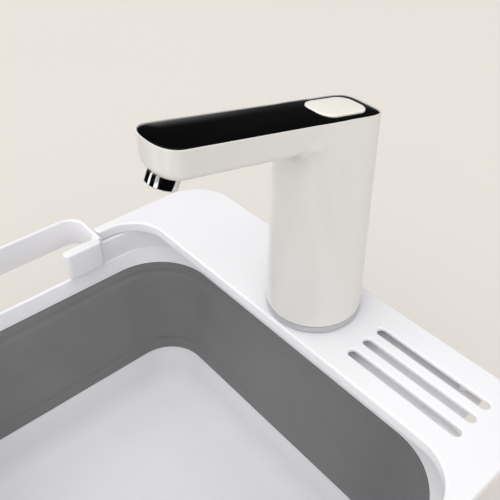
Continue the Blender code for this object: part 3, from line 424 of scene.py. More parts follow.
def metal(name, colour, rough, brush=(1.0, 1.0, 1.0), grain=900.0, scratch=0.05):
    """Plated or drawn metal: sheen streaks along the brushing, and hairline marks in the normal."""
    made = Finish(name)
    streak, cloud = made.noise(grain, 3.0, 0.6, brush), made.noise(40.0, 2.0)
    tone = made.blend(made.ramp(cloud, 0.3, 0.7), shade(colour, 0.95), shade(colour, 1.04))
    sheen = made.ramp(streak * 0.6 + cloud * 0.4, 0.25, 0.75, rough * 0.8, rough * 1.35)
    return made.done(tone, sheen, made.bump(streak, 0.5, scratch * 0.02 * MM), Metallic=1.0)


def gloss_cover():
    """Piano black: deep lacquer with the faintest orange peel and a few wipe marks in its sheen."""
    made = Finish("piano_black")
    peel, wipe = made.noise(120.0, 1.0), made.noise(45.0, 3.0, 0.6, (1.0, 0.3, 1.0))
    tone = made.blend(made.ramp(wipe, 0.3, 0.8), (0.002, 0.002, 0.0024), (0.0035, 0.0035, 0.004))
    sheen = made.ramp(wipe, 0.35, 0.8, 0.06, 0.10)
    return made.done(tone, sheen, made.bump(peel, 0.25, 0.02 * MM), Specular_IOR_Level=0.35)


def circuit_board():
    """Green solder mask over copper tracks, with pads and dark chips laid out on a grid."""
    made = Finish("solder_mask")
    tracks = made.node("ShaderNodeTexBrick", {"offset": 0.37}, {
        "Vector": made.place, "Color1": (1, 1, 1, 1), "Color2": (0.2, 0.2, 0.2, 1), "Mortar": (0, 0, 0, 1),
        "Scale": 260.0, "Mortar Size": 0.06, "Brick Width": 0.8, "Row Height": 0.35}, 1)
    chips = made.node("ShaderNodeTexVoronoi", {"distance": "CHEBYCHEV"}, {"Vector": made.place, "Scale": 130.0})
    mask = made.blend(tracks, (0.012, 0.12, 0.05), (0.03, 0.22, 0.09))
    tone = made.blend(made.ramp(chips, 0.25, 0.27), (0.02, 0.02, 0.022), mask)
    return made.done(tone, made.ramp(chips, 0.2, 0.3, 0.5, 0.28), made.bump(tracks, 0.6, 0.1 * MM))


def mesh_screen():
    """Woven steel screen: crossed wires in colour and height."""
    made = Finish("wire_screen")
    wires = [made.node("ShaderNodeTexWave", {"bands_direction": way}, {"Vector": made.place, "Scale": 420.0})
             for way in "XY"]
    weave = made.node("ShaderNodeMath", {"operation": "MAXIMUM"}, {0: wires[0], 1: wires[1]})
    tone = made.blend(made.ramp(weave, 0.4, 0.8), (0.10, 0.10, 0.11), (0.60, 0.61, 0.63))
    return made.done(tone, made.ramp(weave, 0.3, 0.9, 0.5, 0.22), made.bump(weave, 1.0, 0.2 * MM), Metallic=1.0)


def battery_wrap():
    """Shrink sleeve: blue film with soft wrinkles along the cell."""
    made = Finish("shrink_sleeve")
    wrinkle, cloud = made.noise(220.0, 3.0, 0.6, (1.0, 1.0, 0.2)), made.noise(30.0, 2.0)
    tone = made.blend(made.ramp(cloud, 0.3, 0.7), (0.04, 0.19, 0.45), (0.06, 0.25, 0.55))
    return made.done(tone, made.ramp(wrinkle, 0.3, 0.7, 0.28, 0.45), made.bump(wrinkle, 0.6, 0.1 * MM))


def floor_finish(colour):
    """Matte studio paper, with a tooth too fine to see and the slightest unevenness in tone."""
    made = Finish("studio_paper")
    cloud, tooth = made.noise(1.3, 2.0), made.noise(900.0, 2.0)
    tone = made.blend(made.ramp(cloud, 0.3, 0.7), shade(colour, 0.992), shade(colour, 1.006))
    sheen = made.ramp(tooth, 0.2, 0.8, 0.80, 0.9)
    return made.done(tone, sheen, made.bump(tooth, 0.3, 0.03 * MM), Specular_IOR_Level=0.1)


FINISHES = {}


def finish_of(slot):
    """The material for one of the record's finishes, made once."""
    if slot in FINISHES:
        return FINISHES[slot]
    colours = bpy.context.scene.sink_colours
    white, shell, grey, ivory, silver = (
        tuple(getattr(colours, name)) for name in ("white", "shell", "rubber", "button", "trim"))
    recipes = {
        "white_pp": (moulded, "white_polypropylene", white, 0.36, 700.0, 0.035, 0.015),
        "white_nut": (moulded, "white_acetal", shade(white, 0.97), 0.42, 500.0, 0.05, 0.02),
        "shell_white": (moulded, "warm_white_shell", shell, 0.30, 900.0, 0.02, 0.012,
                        {"Coat_Weight": 0.15, "Coat_Roughness": 0.15}),
        "ivory_plastic": (moulded, "ivory_button", ivory, 0.34, 900.0, 0.02, 0.02),
        "silver_trim": (moulded, "silver_trim", silver, 0.22, 900.0, 0.015, 0.02,
                        {"Metallic": 0.25, "Coat_Weight": 0.4, "Coat_Roughness": 0.08}),
        "smoke_plastic": (moulded, "smoke_lens", (0.42, 0.42, 0.43), 0.2, 900.0, 0.01, 0.04,
                          {"Coat_Weight": 0.5, "Coat_Roughness": 0.05}),
        "black_plastic": (moulded, "black_nylon", (0.035, 0.035, 0.038), 0.45, 500.0, 0.06, 0.12),
        "clear_tube": (moulded, "milky_silicone", (0.72, 0.74, 0.75), 0.24, 300.0, 0.03, 0.04,
                       {"Transmission_Weight": 0.35}),
        "grey_tpe": (rubber, "grey_soft_rubber", grey),
        "black_rubber": (rubber, "black_rubber", (0.03, 0.03, 0.031), 0.7),
        "chrome": (metal, "bright_chrome", (0.66, 0.665, 0.68), 0.07, (1.0, 1.0, 0.3), 500.0, 0.03),
        "chrome_drain": (metal, "drain_chrome", (0.62, 0.63, 0.64), 0.12, (1.0, 1.0, 1.0), 700.0, 0.1),
        "steel_can": (metal, "drawn_steel", (0.55, 0.55, 0.56), 0.3, (1.0, 1.0, 0.05), 1200.0, 0.4),
        "zinc_screw": (metal, "zinc_plate", (0.62, 0.63, 0.60), 0.34, (1.0, 1.0, 1.0), 900.0, 0.4),
        "black_gloss": (gloss_cover,),
        "steel_mesh": (mesh_screen,),
        "circuit_board": (circuit_board,),
        "battery_wrap": (battery_wrap,),
    }
    make, *given = recipes[slot]
    fixed = given.pop() if given and isinstance(given[-1], dict) else {}
    FINISHES[slot] = make(*given, **fixed)
    return FINISHES[slot]


# ---------------------------------------------------------------- basin surfaces
def tub_parts():
    """Tub: rounded rectangles shrinking along a profile, floor grid running into the drain hole, and back outside.

    The inset grows with depth (the draft), plus a quarter circle into the floor; the floor eases
    from rounded rectangles to a circle and falls as the square of the way to the drain.
    """
    def slices(inset, z):
        inset, z = np.asarray(inset, float), np.asarray(z, float)
        depth = np.clip((TUB_TOP - z) / (TUB_TOP - FLOOR_TOP), 0.0, 1.0)
        shrink = inset + TUB_DRAFT * depth
        return TUB_HALF[0] - shrink, TUB_HALF[1] - shrink, np.maximum(TUB_CORNER - 0.5 * shrink, 8 * MM), z

    def across(edge, level, fall, steps):
        share = np.linspace(0.0, 1.0, steps + 1)[1:]
        sizes = [size + (DRAIN_HOLE - size) * share for size in edge]
        return (*sizes, level - fall * share ** 2)

    turn = np.linspace(0.0, math.pi / 2, 15)
    lip, low, big = 1.1 * MM, FLOOR_TOP - TUB_WALL, TUB_FILLET + TUB_WALL
    fillet = TUB_FILLET * (1 - np.stack((np.cos(turn), np.sin(turn))))
    inner = slices(np.concatenate(([-lip * 0.3, 0.0], fillet[0])),
                   np.concatenate(([TUB_TOP - lip * 0.3, TUB_TOP - lip], FLOOR_TOP + fillet[1])))
    outer = slices(np.concatenate((big * (1 - np.sin(turn)) - TUB_WALL, [-TUB_WALL, 0.3 * lip - TUB_WALL])),
                   np.concatenate((low + big * (1 - np.cos(turn)), [TUB_TOP - lip, TUB_TOP])))
    floor = across([values[-1] for values in inner[:3]], FLOOR_TOP, 0.25 * MM, 10)
    under = across([values[0] for values in outer[:3]], low, 0.0, 7)
    rows = [np.concatenate(group) for group in zip(inner, floor, (values[::-1] for values in under), outer)]
    return quads(rect_loops(*rows, centre=(0.0, BASIN_Y), steps=14), along=True)


def wall_parts():
    """Soft wall: rounded rectangles growing with height, inside then outside.

    Two narrow folds bulge as bell curves near the top and foot, and the middle swells a little.
    """
    low, high = TUB_TOP + WALL_GAP, RING_BOTTOM - WALL_GAP
    share = np.unique(np.concatenate((np.linspace(0, 1, 40), 0.10 + np.linspace(-0.05, 0.05, 17),
                                      0.90 + np.linspace(-0.05, 0.05, 17))))
    rise, wide = WALL_FOLD
    bulge = (rise * np.exp(-((share - 0.10) / wide) ** 2) + rise * np.exp(-((share - 0.90) / wide) ** 2)
             + WALL_SWELL * np.sin(math.pi * share) ** 2) * MM

    def skin(offset, share, bulge):
        return [TUB_HALF[k] + (RING_HALF[k] - TUB_HALF[k]) * share + bulge + offset for k in (0, 1)] + [
            TUB_CORNER + (RING_CORNER - TUB_CORNER) * share + offset, low + (high - low) * share]

    inside, outside = skin(0.0, share, bulge), skin(WALL_SKIN, share[::-1], bulge[::-1])
    rows = [np.concatenate(pair) for pair in zip(inside, outside)]
    return quads(rect_loops(*rows, centre=(0.0, BASIN_Y), steps=16), along=True)


def ring_parts():
    """Lower ring: its closed section carried round a rectangle whose corners tighten in step with height."""
    hook, lip = RING_BOTTOM - 3 * MM, RING_WALL - 2.2 * MM
    section = rounded([(0.0, RING_BOTTOM), (-RING_DRAFT, LEDGE), (-RING_WALL, LEDGE), (-RING_WALL, hook),
                       (-lip, hook), (-lip, RING_BOTTOM)],
                      np.array([0.5, 0.6, 0.8, 0.7, 0.7, 0.4]) * MM, 5, True)
    inset, z = section.T
    rise = np.clip((z - RING_BOTTOM) / (LEDGE - RING_BOTTOM), 0.0, 1.0)
    corner = RING_CORNER - inset - (RING_CORNER + RING_DRAFT - BAND_CORNER + 0.8 * MM) * rise
    loops = rect_loops(RING_HALF[0] - inset, RING_HALF[1] - inset, corner, z, (0.0, BASIN_Y), 18)
    return quads(loops, along=True)


def band_parts():
    """Upright band with its flange, carried along the front and along each back corner."""
    under = BAND_TOP - 2.4 * MM
    section = rounded([(0.0, BAND_FOOT), (0.0, BAND_TOP), (-FLANGE, BAND_TOP), (-FLANGE, under), (-BAND_WALL, under),
                       (-BAND_WALL, BAND_FOOT)], np.array([0.3, 1.1, 0.9, 0.7, 0.8, 0.3]) * MM, 5, True)

    def path(kind):
        def at(inset):
            half_x, half_y, radius = BAND_HALF[0] - inset, BAND_HALF[1] - inset, BAND_CORNER - inset
            x, end = kind * half_x, kind * (BAND_HALF[0] - BAND_CORNER)
            points = [(x, HAND_GAP), (x, half_y), (end, half_y)]
            if kind == 0:
                points = [(half_x, -HAND_GAP), (half_x, -half_y), (-half_x, -half_y), (-half_x, -HAND_GAP)]
            return rounded(points, radius, 18) + (0.0, BASIN_Y)
        return at

    parts = [capped(np.swapaxes(carried(path(kind), section), 0, 1)) for kind in (0, 1, -1)]
    half, top = BACK_WALL
    x, inset = rounded([(-half, 0.0), (half, 0.0), (half, -BAND_WALL), (-half, -BAND_WALL)], 0.3 * MM, 2, True).T
    wall = np.column_stack((x, BASIN_Y + BAND_HALF[1] - inset))
    parts.append(capped(np.stack([lifted(wall, BAND_FOOT), lifted(wall, top)])))
    return parts


def soft_box(low, high, side, edge, steps=5):
    """Box with upright corners of radius side and top and bottom edges of radius edge, all true arcs."""
    turn = np.linspace(0.0, math.pi / 2, steps + 1)
    inset = np.concatenate((edge * (1 - np.sin(turn)), edge * (1 - np.cos(turn))))
    z = np.concatenate((low[2] + edge * (1 - np.cos(turn)), high[2] - edge * (1 - np.sin(turn))))
    half_x, half_y = (high[0] - low[0]) / 2, (high[1] - low[1]) / 2
    centre = ((high[0] + low[0]) / 2, (high[1] + low[1]) / 2)
    loops = rect_loops(half_x - inset, half_y - inset, np.maximum(side - inset, 0.2 * MM), z, centre, 8)
    return capped(loops)


def handle_parts(side):
    """Strap: a rounded upright section carried round a U; two hook blocks; a hollow quarter circle in each corner."""
    high, low = DECK_TOP, DECK_TOP - STRAP_DEPTH
    start = (BLOCK_X[0] + BLOCK_X[1]) / 2
    section = rounded([(0.0, low), (0.0, high), (STRAP_WALL, high), (STRAP_WALL, low)], 1.45 * MM, 6, True)

    def path(inset):
        half, reach = STRAP_HALF_Y - inset, STRAP_OUTER - inset
        flat = rounded([(start, -half), (reach, -half), (reach, half), (start, half)], STRAP_CORNER - inset, 14)
        return flat * (side, 1.0) + (0.0, BASIN_Y)

    parts = [capped(np.swapaxes(carried(path, section), 0, 1))]
    back, leg = BLOCK_X[1] - 0.8 * MM, STRAP_HALF_Y - STRAP_WALL + 0.4 * MM
    turn = np.linspace(math.pi, math.pi / 2, 13)
    arc_x, arc_y = BLOCK_X[1] + BLOCK_FILLET * (1 + np.cos(turn)), leg - BLOCK_FILLET * (1 - np.sin(turn))
    outline = np.concatenate(([(back, leg), (back, leg - BLOCK_FILLET)], np.column_stack((arc_x, arc_y)),
                              [(back + BLOCK_FILLET, leg)]))
    for end in (-1, 1):
        (x0, x1), (y0, y1) = sorted(side * x for x in BLOCK_X), sorted(BASIN_Y + end * y for y in BLOCK_Y)
        block = soft_box((x0, y0, low + 0.2 * MM), (x1, y1, high - 0.9 * MM), BLOCK_CORNER, BLOCK_EDGE)
        parts.append(block)
        plan = outline * (side, end) + (0.0, BASIN_Y)
        parts.append(capped(np.stack([lifted(plan, low + 0.8 * MM), lifted(plan, high - 3.2 * MM)])))
    return parts


# ---------------------------------------------------------------- deck surfaces
def deck_outline(inset):
    """U-shaped outline moved in by inset: its polygon's edges move in, convex arcs shrink, hollow arcs grow."""
    outer, back = DECK_HALF_X - inset, DECK_BACK - inset
    inner, front, tip = ARM_INNER_X + inset, DECK_INNER + inset, ARM_END + inset
    points = [(inner, tip), (outer, tip), (outer, back), (-outer, back), (-outer, tip), (-inner, tip),
              (-inner, front), (inner, front)]
    small, corner, bend = max(3.2 * MM - inset, 0.3 * MM), DECK_CORNER - inset, ARM_BEND + inset
    return rounded(points, [small, small, corner, corner, small, small, bend, bend], 14, True)


def stadium(inset, row):
    """Outline of one deck slot, grown by a negative inset."""
    half = SLOT_WIDTH / 2 - inset
    x0, x1 = SLOT_X[0] + inset, SLOT_X[1] - inset
    return rounded([(x1, row - half), (x1, row + half), (x0, row + half), (x0, row - half)], half * 0.999, 12, True)


def circle(radius, centre, sides=32):
    """Points round a circle in plan."""
    turn = np.linspace(0.0, math.tau, sides, endpoint=False)
    return np.column_stack((centre[0] + radius * np.cos(turn), centre[1] + radius * np.sin(turn)))


def lifted(outline, z):
    """A plan outline stood at height z."""
    return np.column_stack((outline, np.full(len(outline), z)))


def filled(outlines, z):
    """Flat face at height z between an outer outline and the holes in it."""
    loops = [[Vector(p) for p in lifted(outline, z).tolist()] for outline in outlines]
    points = np.concatenate([lifted(outline, z) for outline in outlines])
    return points, [list(face) for face in tessellate_polygon(loops)]


def deck_parts():
    """Deck: its edge section carried round the U, slot and hole walls, and flat faces filled between them."""
    crown, rim = 1.7 * MM, 1.1 * MM
    under = DECK_TOP - DECK_PLATE
    edge = rounded([(LIP_WALL, under), (LIP_WALL, DECK_TOP - LIP_DEPTH), (0.0, DECK_TOP - LIP_DEPTH),
                    (0.0, DECK_TOP), (4 * MM, DECK_TOP)], [0, 0.6 * MM, 0.7 * MM, crown, 0], 7)
    edge[-1] = (crown + 0.5 * MM, DECK_TOP)
    parts = [quads(carried(deck_outline, edge))]
    hole = rounded([(-4 * MM, DECK_TOP), (0.0, DECK_TOP), (0.0, under)], rim, 6)
    hole[0] = (-rim - 0.4 * MM, DECK_TOP)
    tops, unders = [deck_outline(crown + 0.5 * MM)], [deck_outline(LIP_WALL)]
    for row in SLOT_ROWS:
        parts.append(quads(carried(lambda inset, row=row: stadium(inset, row), hole)))
        tops.append(stadium(-rim - 0.4 * MM, row))
        unders.append(stadium(0.0, row))
    rounds = [(SCREW_HOLE, TAP_AT.x + SCREW_RING * math.cos(turn), TAP_AT.y + SCREW_RING * math.sin(turn))
              for turn in np.radians((-30.0, 210.0, 150.0, 30.0))]
    for radius, x, y in (*rounds, (HOSE_HOLE, TAP_AT.x, TAP_AT.y + HOSE_BACK)):
        loop = circle(radius, (x, y))
        parts.append(quads(np.stack([lifted(loop, DECK_TOP), lifted(loop, under)])))
        tops.append(loop)
        unders.append(loop)
    for x in (-BOSS_X, BOSS_X):
        for back in BOSS_BACK:
            boss = [(BOSS_RADIUS, DECK_TOP - 10.2 * MM), (BOSS_RADIUS, under + 0.3 * MM)]
            parts.append(capped(revolve(boss, 32, (x, DECK_BACK - back))))
    parts += [filled(tops, DECK_TOP), filled(unders, under)]
    return parts


# ---------------------------------------------------------------- tap surfaces
def ease(value, low, high):
    t = np.clip((value - low) / (high - low), 0.0, 1.0)
    return t * t * (3 - 2 * t)


def column_gap(x, q, z):
    """Plan distance outside the ruled column, which runs from a circle to a squared oval in the sloping top.

    The oval is (half width times cos to a power, half length times sin to a power).  The angle whose
    ruled point lies in the asked direction is found by halving.
    """
    share = np.clip((z - FOOT) / (TOP + RISE * q - FOOT), 0.0, 1.05)
    ahead, aside = np.abs(q), np.abs(x)
    low, high = np.zeros_like(x), np.full_like(x, math.pi / 2)
    for _ in range(20):
        angle = (low + high) / 2
        c, s = np.cos(angle), np.sin(angle)
        px = (1 - share) * TAP_RADIUS * c + share * TOP_HALF[0] * c ** REAR_POWER
        py = (1 - share) * TAP_RADIUS * s + share * TOP_HALF[1] * s ** REAR_POWER
        short = py * aside < px * ahead
        low, high = np.where(short, angle, low), np.where(short, high, angle)
    return np.hypot(x, q) - np.hypot(px, py)


def spout_gap(x, q, z):
    """Distance outside the spout: a rounded-end bar under the sloping top, its lower edge a quarter circle."""
    power = 2 / CAP_POWER
    side = TOP_HALF[0] * (((np.abs(x) / TOP_HALF[0]) ** power
                           + (np.maximum(q - REACH + CAP, 0.0) / CAP) ** power) ** (1 / power) - 1)
    under = (TOP + RISE * q - z - THICK) * math.cos(TILT)
    bar = np.minimum(-LOWER_EDGE, np.maximum(side, under)) + np.hypot(
        np.maximum(LOWER_EDGE + side, 0.0), np.maximum(LOWER_EDGE + under, 0.0))
    return np.maximum(bar, -q)


def tap_gap(x, q, z):
    """Distance outside column and spout joined, with a fillet that grows towards the inner corner."""
    depth = TOP + RISE * q - z
    fillet = 0.15 + 9.5 * ease(q, 14.0, 30.0) * ease(depth, 5.0, 18.0)
    first, second = column_gap(x, q, z), spout_gap(x, q, z)
    return np.maximum(fillet, np.minimum(first, second)) - np.hypot(
        np.maximum(fillet - first, 0.0), np.maximum(fillet - second, 0.0))


FAN, SIDE = 20, 34                  # columns in each end fan and along a side


def tap_loops(height, slope, front, rear, roundness, level=0.0):
    """Loops cut through the tap by sloping planes, found along rays from its middle line.

    Row k is the plane at height k on the axis with slope k.  Its rays fan round a front and a rear
    point and run square to the line between them; as roundness goes to 1 they spread evenly from
    the axis instead.  Along each ray the place where the tap's distance equals level is found by halving.
    """
    height, slope, front, rear, roundness, level = (
        np.asarray(v, float)[:, None] for v in np.broadcast_arrays(height, slope, front, rear, roundness, level))
    count = 2 * FAN + SIDE
    j = np.arange(count + 1)
    ray = np.concatenate((np.linspace(0, 90, FAN + 1), np.full(SIDE - 1, 90.0), np.linspace(90, 180, FAN + 1)))
    along = np.clip((j - FAN) / SIDE, 0.0, 1.0)
    theta = np.radians((1 - roundness) * ray + roundness * 180.0 * j / count)
    origin = (1 - roundness) * (front + (rear - front) * along)
    c, s = np.cos(theta), np.sin(theta)
    low, high = np.zeros_like(theta), np.full_like(theta, 60.0)
    for _ in range(24):
        t = (low + high) / 2
        x, q = t * s, origin + t * c
        inside = tap_gap(x, q, height + slope * q) < level
        low, high = np.where(inside, t, low), np.where(inside, high, t)
    x, q = t * s, origin + t * c
    half = np.stack([x, -q, height + slope * q], -1)
    middle = np.stack([np.zeros_like(origin), -origin, height + slope * origin], -1)
    return [np.concatenate((v, v[:, -2:0:-1] * (-1.0, 1.0, 1.0)), 1) for v in (half, middle)]


def tap_rows():
    """Planes from the top to the foot: they pivot far behind the column, and past the inner corner they drop."""
    pivot_q, pivot_z = -91.0, TOP - RISE * 91.0
    depth = THICK * (1 - (1 - np.linspace(0.02, 1, 16)) ** 1.5)
    tip = (TOP + RISE * REACH - depth - pivot_z) / (REACH - pivot_q)
    cross = np.linspace(REACH - 2.0, 34.0, 36)
    under = (TOP - THICK + RISE * cross - pivot_z) / (cross - pivot_q)
    slope = np.concatenate((tip, under))
    height = pivot_z - pivot_q * slope
    front = np.concatenate((np.full(len(tip), REACH - CAP - 2), np.maximum(cross - 15.0, 6.0)))
    drop = np.linspace(0.0, 1.0, 45)[1:]
    level = height[-1] - (height[-1] - FOOT) * drop ** 1.45
    tail = slope[-1] * (level - FOOT) / (height[-1] - FOOT)
    spread = ease(drop, 0.0, 0.55)
    return (np.concatenate((height, level)), np.concatenate((slope, tail)),
            np.concatenate((front, front[-1] * (1 - spread))),
            np.concatenate((np.full(len(slope), -15.0), -15.0 * (1 - spread))),
            np.concatenate((np.zeros(len(slope)), spread)))


def top_loops(depth, level):
    """Outlines parallel to the top edge: depth below the sloping top, level inside the outer skin."""
    depth, level = (np.asarray(v, float) for v in (depth, level))
    return tap_loops(TOP - depth, RISE, REACH - CAP - 2, -15.0, 0.0, -level)


def shell_parts():
    """Shell: outer skin by falling planes, its copy moved in along the normals, and a stepped rim joining them."""
    outer, _ = tap_loops(*tap_rows())
    across = np.roll(outer, -1, 1) - np.roll(outer, 1, 1)
    down = np.gradient(outer, axis=0)
    normal = np.cross(down, across)
    normal /= np.maximum(np.linalg.norm(normal, axis=2, keepdims=True), 1e-9)
    centre = outer.mean(1, keepdims=True)
    if ((outer - centre) * normal)[-20:].sum() < 0:
        normal = -normal
    inner = outer - SHELL_WALL * normal
    inner[-1, :, 2] = FOOT
    rim, _ = top_loops([COVER_THICK, COVER_THICK, 0.3, 0.0, 0.0, 0.25], [SHELL_WALL, COVER_INSET, COVER_INSET, 0.8,
                                                                      0.45, 0.0])
    grid = np.concatenate((inner[:9:-1], rim, outer))
    return quads(tap_to_world(grid), along=True)


def leaning(points):
    """Outlet points turned about the mouth's middle in the underside, to lean forward, and stood in the spout."""
    x, y, z = np.moveaxis(np.asarray(points, float), -1, 0)
    c, s = math.cos(AERATOR_LEAN), math.sin(AERATOR_LEAN)
    return on_slope(np.stack([x, c * y + s * (z - UNDER), UNDER + c * (z - UNDER) - s * y], -1), AERATOR_AT)


def at_sensor(points):
    return on_slope(points, SENSOR_AT)


def rod(radius, stand):
    """Closed round cutter through the spout's underside."""
    return [capped(tap_to_world(stand(revolve([(radius, UNDER - 8.0), (radius, UNDER + 7.0)], 48))))]


def cover_parts():
    """Glossy cover: flat under face, eased rim, and a top that rises as a parabola to its middle line."""
    inset = COVER_INSET + COVER_GAP
    edge, middle = top_loops([COVER_THICK - 0.3, 0.42, 0.20, 0.10], [inset, inset, inset + 0.12, inset + 0.4])
    share = np.linspace(0.0, 1.0, 14)[1:, None, None]
    dome = edge[-1] + (middle[-1] - edge[-1]) * share
    dome = dome + np.array([0.0, 0.0, COVER_CROWN]) * (1 - (1 - share) ** 2)
    base = edge[0] + (middle[0] - edge[0]) * np.linspace(1.0, 0.0, 4)[:-1, None, None]
    return quads(tap_to_world(np.concatenate((base, edge, dome))))


def button_loops(inset, z):
    """Rounded rectangles of the button, moved in by inset millimetres, at height z above the sloping top."""
    inset = np.asarray(inset, float)
    return rect_loops(BUTTON_HALF[0] - inset, BUTTON_HALF[1] - inset, BUTTON_CORNER - inset, z, steps=16)


def button_parts():
    """Button: upright side, rounded edge, and a crowned top with a shallow bell-shaped crease across its middle."""
    turn = np.linspace(0.0, math.pi / 2, 7)
    side = button_loops([BUTTON_GAP, BUTTON_GAP], [-3.6, 0.55])
    edge = button_loops(BUTTON_GAP + 1.0 * (1 - np.cos(turn)), 0.55 + 0.85 * np.sin(turn))
    share = np.linspace(0.0, 1.0, 22)[1:, None, None]
    top = edge[-1] * (1 - share) + np.array([0.0, 0.0, BUTTON_TOP]) * share
    crease = 0.22 * np.exp(-(top[..., 1] / 0.55) ** 2) * (share[..., 0] > 0.02)
    top[..., 2] = BUTTON_TOP + 0.45 * (1 - (1 - share[..., 0]) ** 2) - crease
    grid = np.concatenate((side[:1] * np.array([0.0, 0.0, 1.0]), side, edge, top))
    grid[-1, :, :2] = 0.0
    stem = capped(tap_to_world(on_slope(revolve([(2.6, -9.0), (2.6, -3.5)], 32), -BUTTON_BACK)))
    return [quads(tap_to_world(on_slope(grid, -BUTTON_BACK))), stem]


TURNED_ON_TAP = {
    "aerator_housing": ("chrome", leaning, [
        (6.9, UNDER - AERATOR_DROP + 1.2), (6.9, UNDER - AERATOR_DROP + 0.5), (7.3, UNDER - AERATOR_DROP),
        (8.4, UNDER - AERATOR_DROP), (8.8, UNDER - AERATOR_DROP + 0.5), (8.8, UNDER - 2.3), (8.45, UNDER - 2.1),
        (8.45, UNDER - 1.7), (8.8, UNDER - 1.5), (8.8, UNDER + 3.2), (6.9, UNDER + 3.2)], 0.16),
    "sensor_window": ("smoke_plastic", at_sensor, [
        (0.0, UNDER - 3.4), (2.5, UNDER - 3.0), (3.1, UNDER - 2.2), (3.1, UNDER + 2.6), (4.4, UNDER + 2.6),
        (4.4, UNDER + 4.0), (0.0, UNDER + 4.0)], 0.35),
}


def turned_parts(profile, radius, place):
    """A profile with eased corners turned about its axis; it is closed on itself, or on the axis at both ends."""
    open_ended = profile[0][0] == 0.0
    curve = rounded(profile, radius, 4, not open_ended)
    grid = revolve(curve, 96)
    return quads(place(grid), along=not open_ended)


# ---------------------------------------------------------------- settings a user may change
def colour(name, description, default):
    return FloatVectorProperty(name=name, description=description, subtype="COLOR", default=default, min=0.0, max=1.0)


def strength(name, description, default):
    return FloatProperty(name=name, description=description, default=default, min=0.0)


class SinkColours(bpy.types.PropertyGroup):
    white: colour("White plastic", "Tub, rim, handles and deck", (0.885, 0.88, 0.905))
    shell: colour("Tap shell", "Warm white of the tap", (0.765, 0.748, 0.728))
    rubber: colour("Soft wall", "Grey of the folding wall", (0.222, 0.223, 0.227))
    button: colour("Button", "Ivory of the tap's button", (0.96, 0.94, 0.87))
    trim: colour("Trim ring", "Silver grey of the ring at the tap's foot", (0.50, 0.507, 0.52))
    floor: colour("Floor", "Studio paper", (0.745, 0.708, 0.667))


class SinkStage(bpy.types.PropertyGroup):
    floor_half: FloatProperty(name="Floor half width", description="Half the side of the studio floor",
                              default=6.0, min=0.5, subtype="DISTANCE", unit="LENGTH")
    top_light: strength("Top light", "Strength of the wide light overhead", 0.76)
    side_light: strength("Side light", "Strength of the light beside the camera", 0.64)
    far_light: strength("Far light", "Strength of the light behind on the right", 0.24)
    room_light: strength("Room light", "Strength of the light from all round", 0.72)
    lens: FloatProperty(name="Lens", description="Focal length of the camera", default=45.65, min=10.0,
                        subtype="DISTANCE_CAMERA")


CAMERA_AT = (0.2254, -0.11605, 0.4965)
CAMERA_TURN = (51.0, 0.0, 49.1)     # degrees
TOWARDS_CAMERA = (0.756, -0.655, 0.0)
TO_THE_RIGHT = (0.655, 0.756, 0.0)
PLAIN_ROOM = 0.86                   # how bright the room looks where the camera sees it
# dark studio boards, seen only in bright metal: bearing in degrees, then width
BOARD_AWAY, BOARD_HEIGHT = 0.34, 0.60
BOARDS = ((-156.0, 0.28), (-101.0, 0.20), (-43.0, 0.20), (-9.0, 0.23), (25.0, 0.20))


# ---------------------------------------------------------------- operators
class SINK_OT_finishes(bpy.types.Operator):
    """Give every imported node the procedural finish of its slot"""
    bl_idname = "sink.finishes"
    bl_label = "Finishes"

    def execute(self, context):
        for part in frame["record"]["subparts"]:
            node = frame["nodes"][part["node"]]
            material = finish_of(part["material_slot"])
            for slot in node.material_slots:
                slot.material = material
            if not node.material_slots:
                node.data.materials.append(material)
        return {"FINISHED"}


class SINK_OT_basin(bpy.types.Operator):
    """Build the rigid tub and the soft wall above it"""
    bl_idname = "sink.basin"
    bl_label = "Basin"

    def execute(self, context):
        piece("tub", [tub_parts()], "base", "white_pp", "base_tub")
        wall = piece("soft_wall", [wall_parts()], "base", "grey_tpe", "collapsible_wall")
        open_height = RING_BOTTOM - TUB_TOP
        travel = JOINTS["basin_collapse"]["range_m"][1]
        (open_height - travel - 2 * WALL_GAP) / (open_height - 2 * WALL_GAP)
        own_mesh(wall)
        return {"FINISHED"}


class SINK_OT_rim(bpy.types.Operator):
    """Build the rim: lower ring, upright band and the two carrying handles"""
    bl_idname = "sink.rim"
    bl_label = "Rim and handles"

    def execute(self, context):
        piece("rim", [ring_parts()] + band_parts(), "rim", "white_pp", "rim_frame")
        piece("left_handle", handle_parts(-1), "rim", "white_pp", "handle_left")
        piece("right_handle", handle_parts(1), "rim", "white_pp", "handle_right")
        return {"FINISHED"}


class SINK_OT_deck(bpy.types.Operator):
    """Build the slotted rear deck with its turned-down edge"""
    bl_idname = "sink.deck"
    bl_label = "Deck"

    def execute(self, context):
        piece("deck", deck_parts(), "rim", "white_pp", "deck_plate")
        return {"FINISHED"}


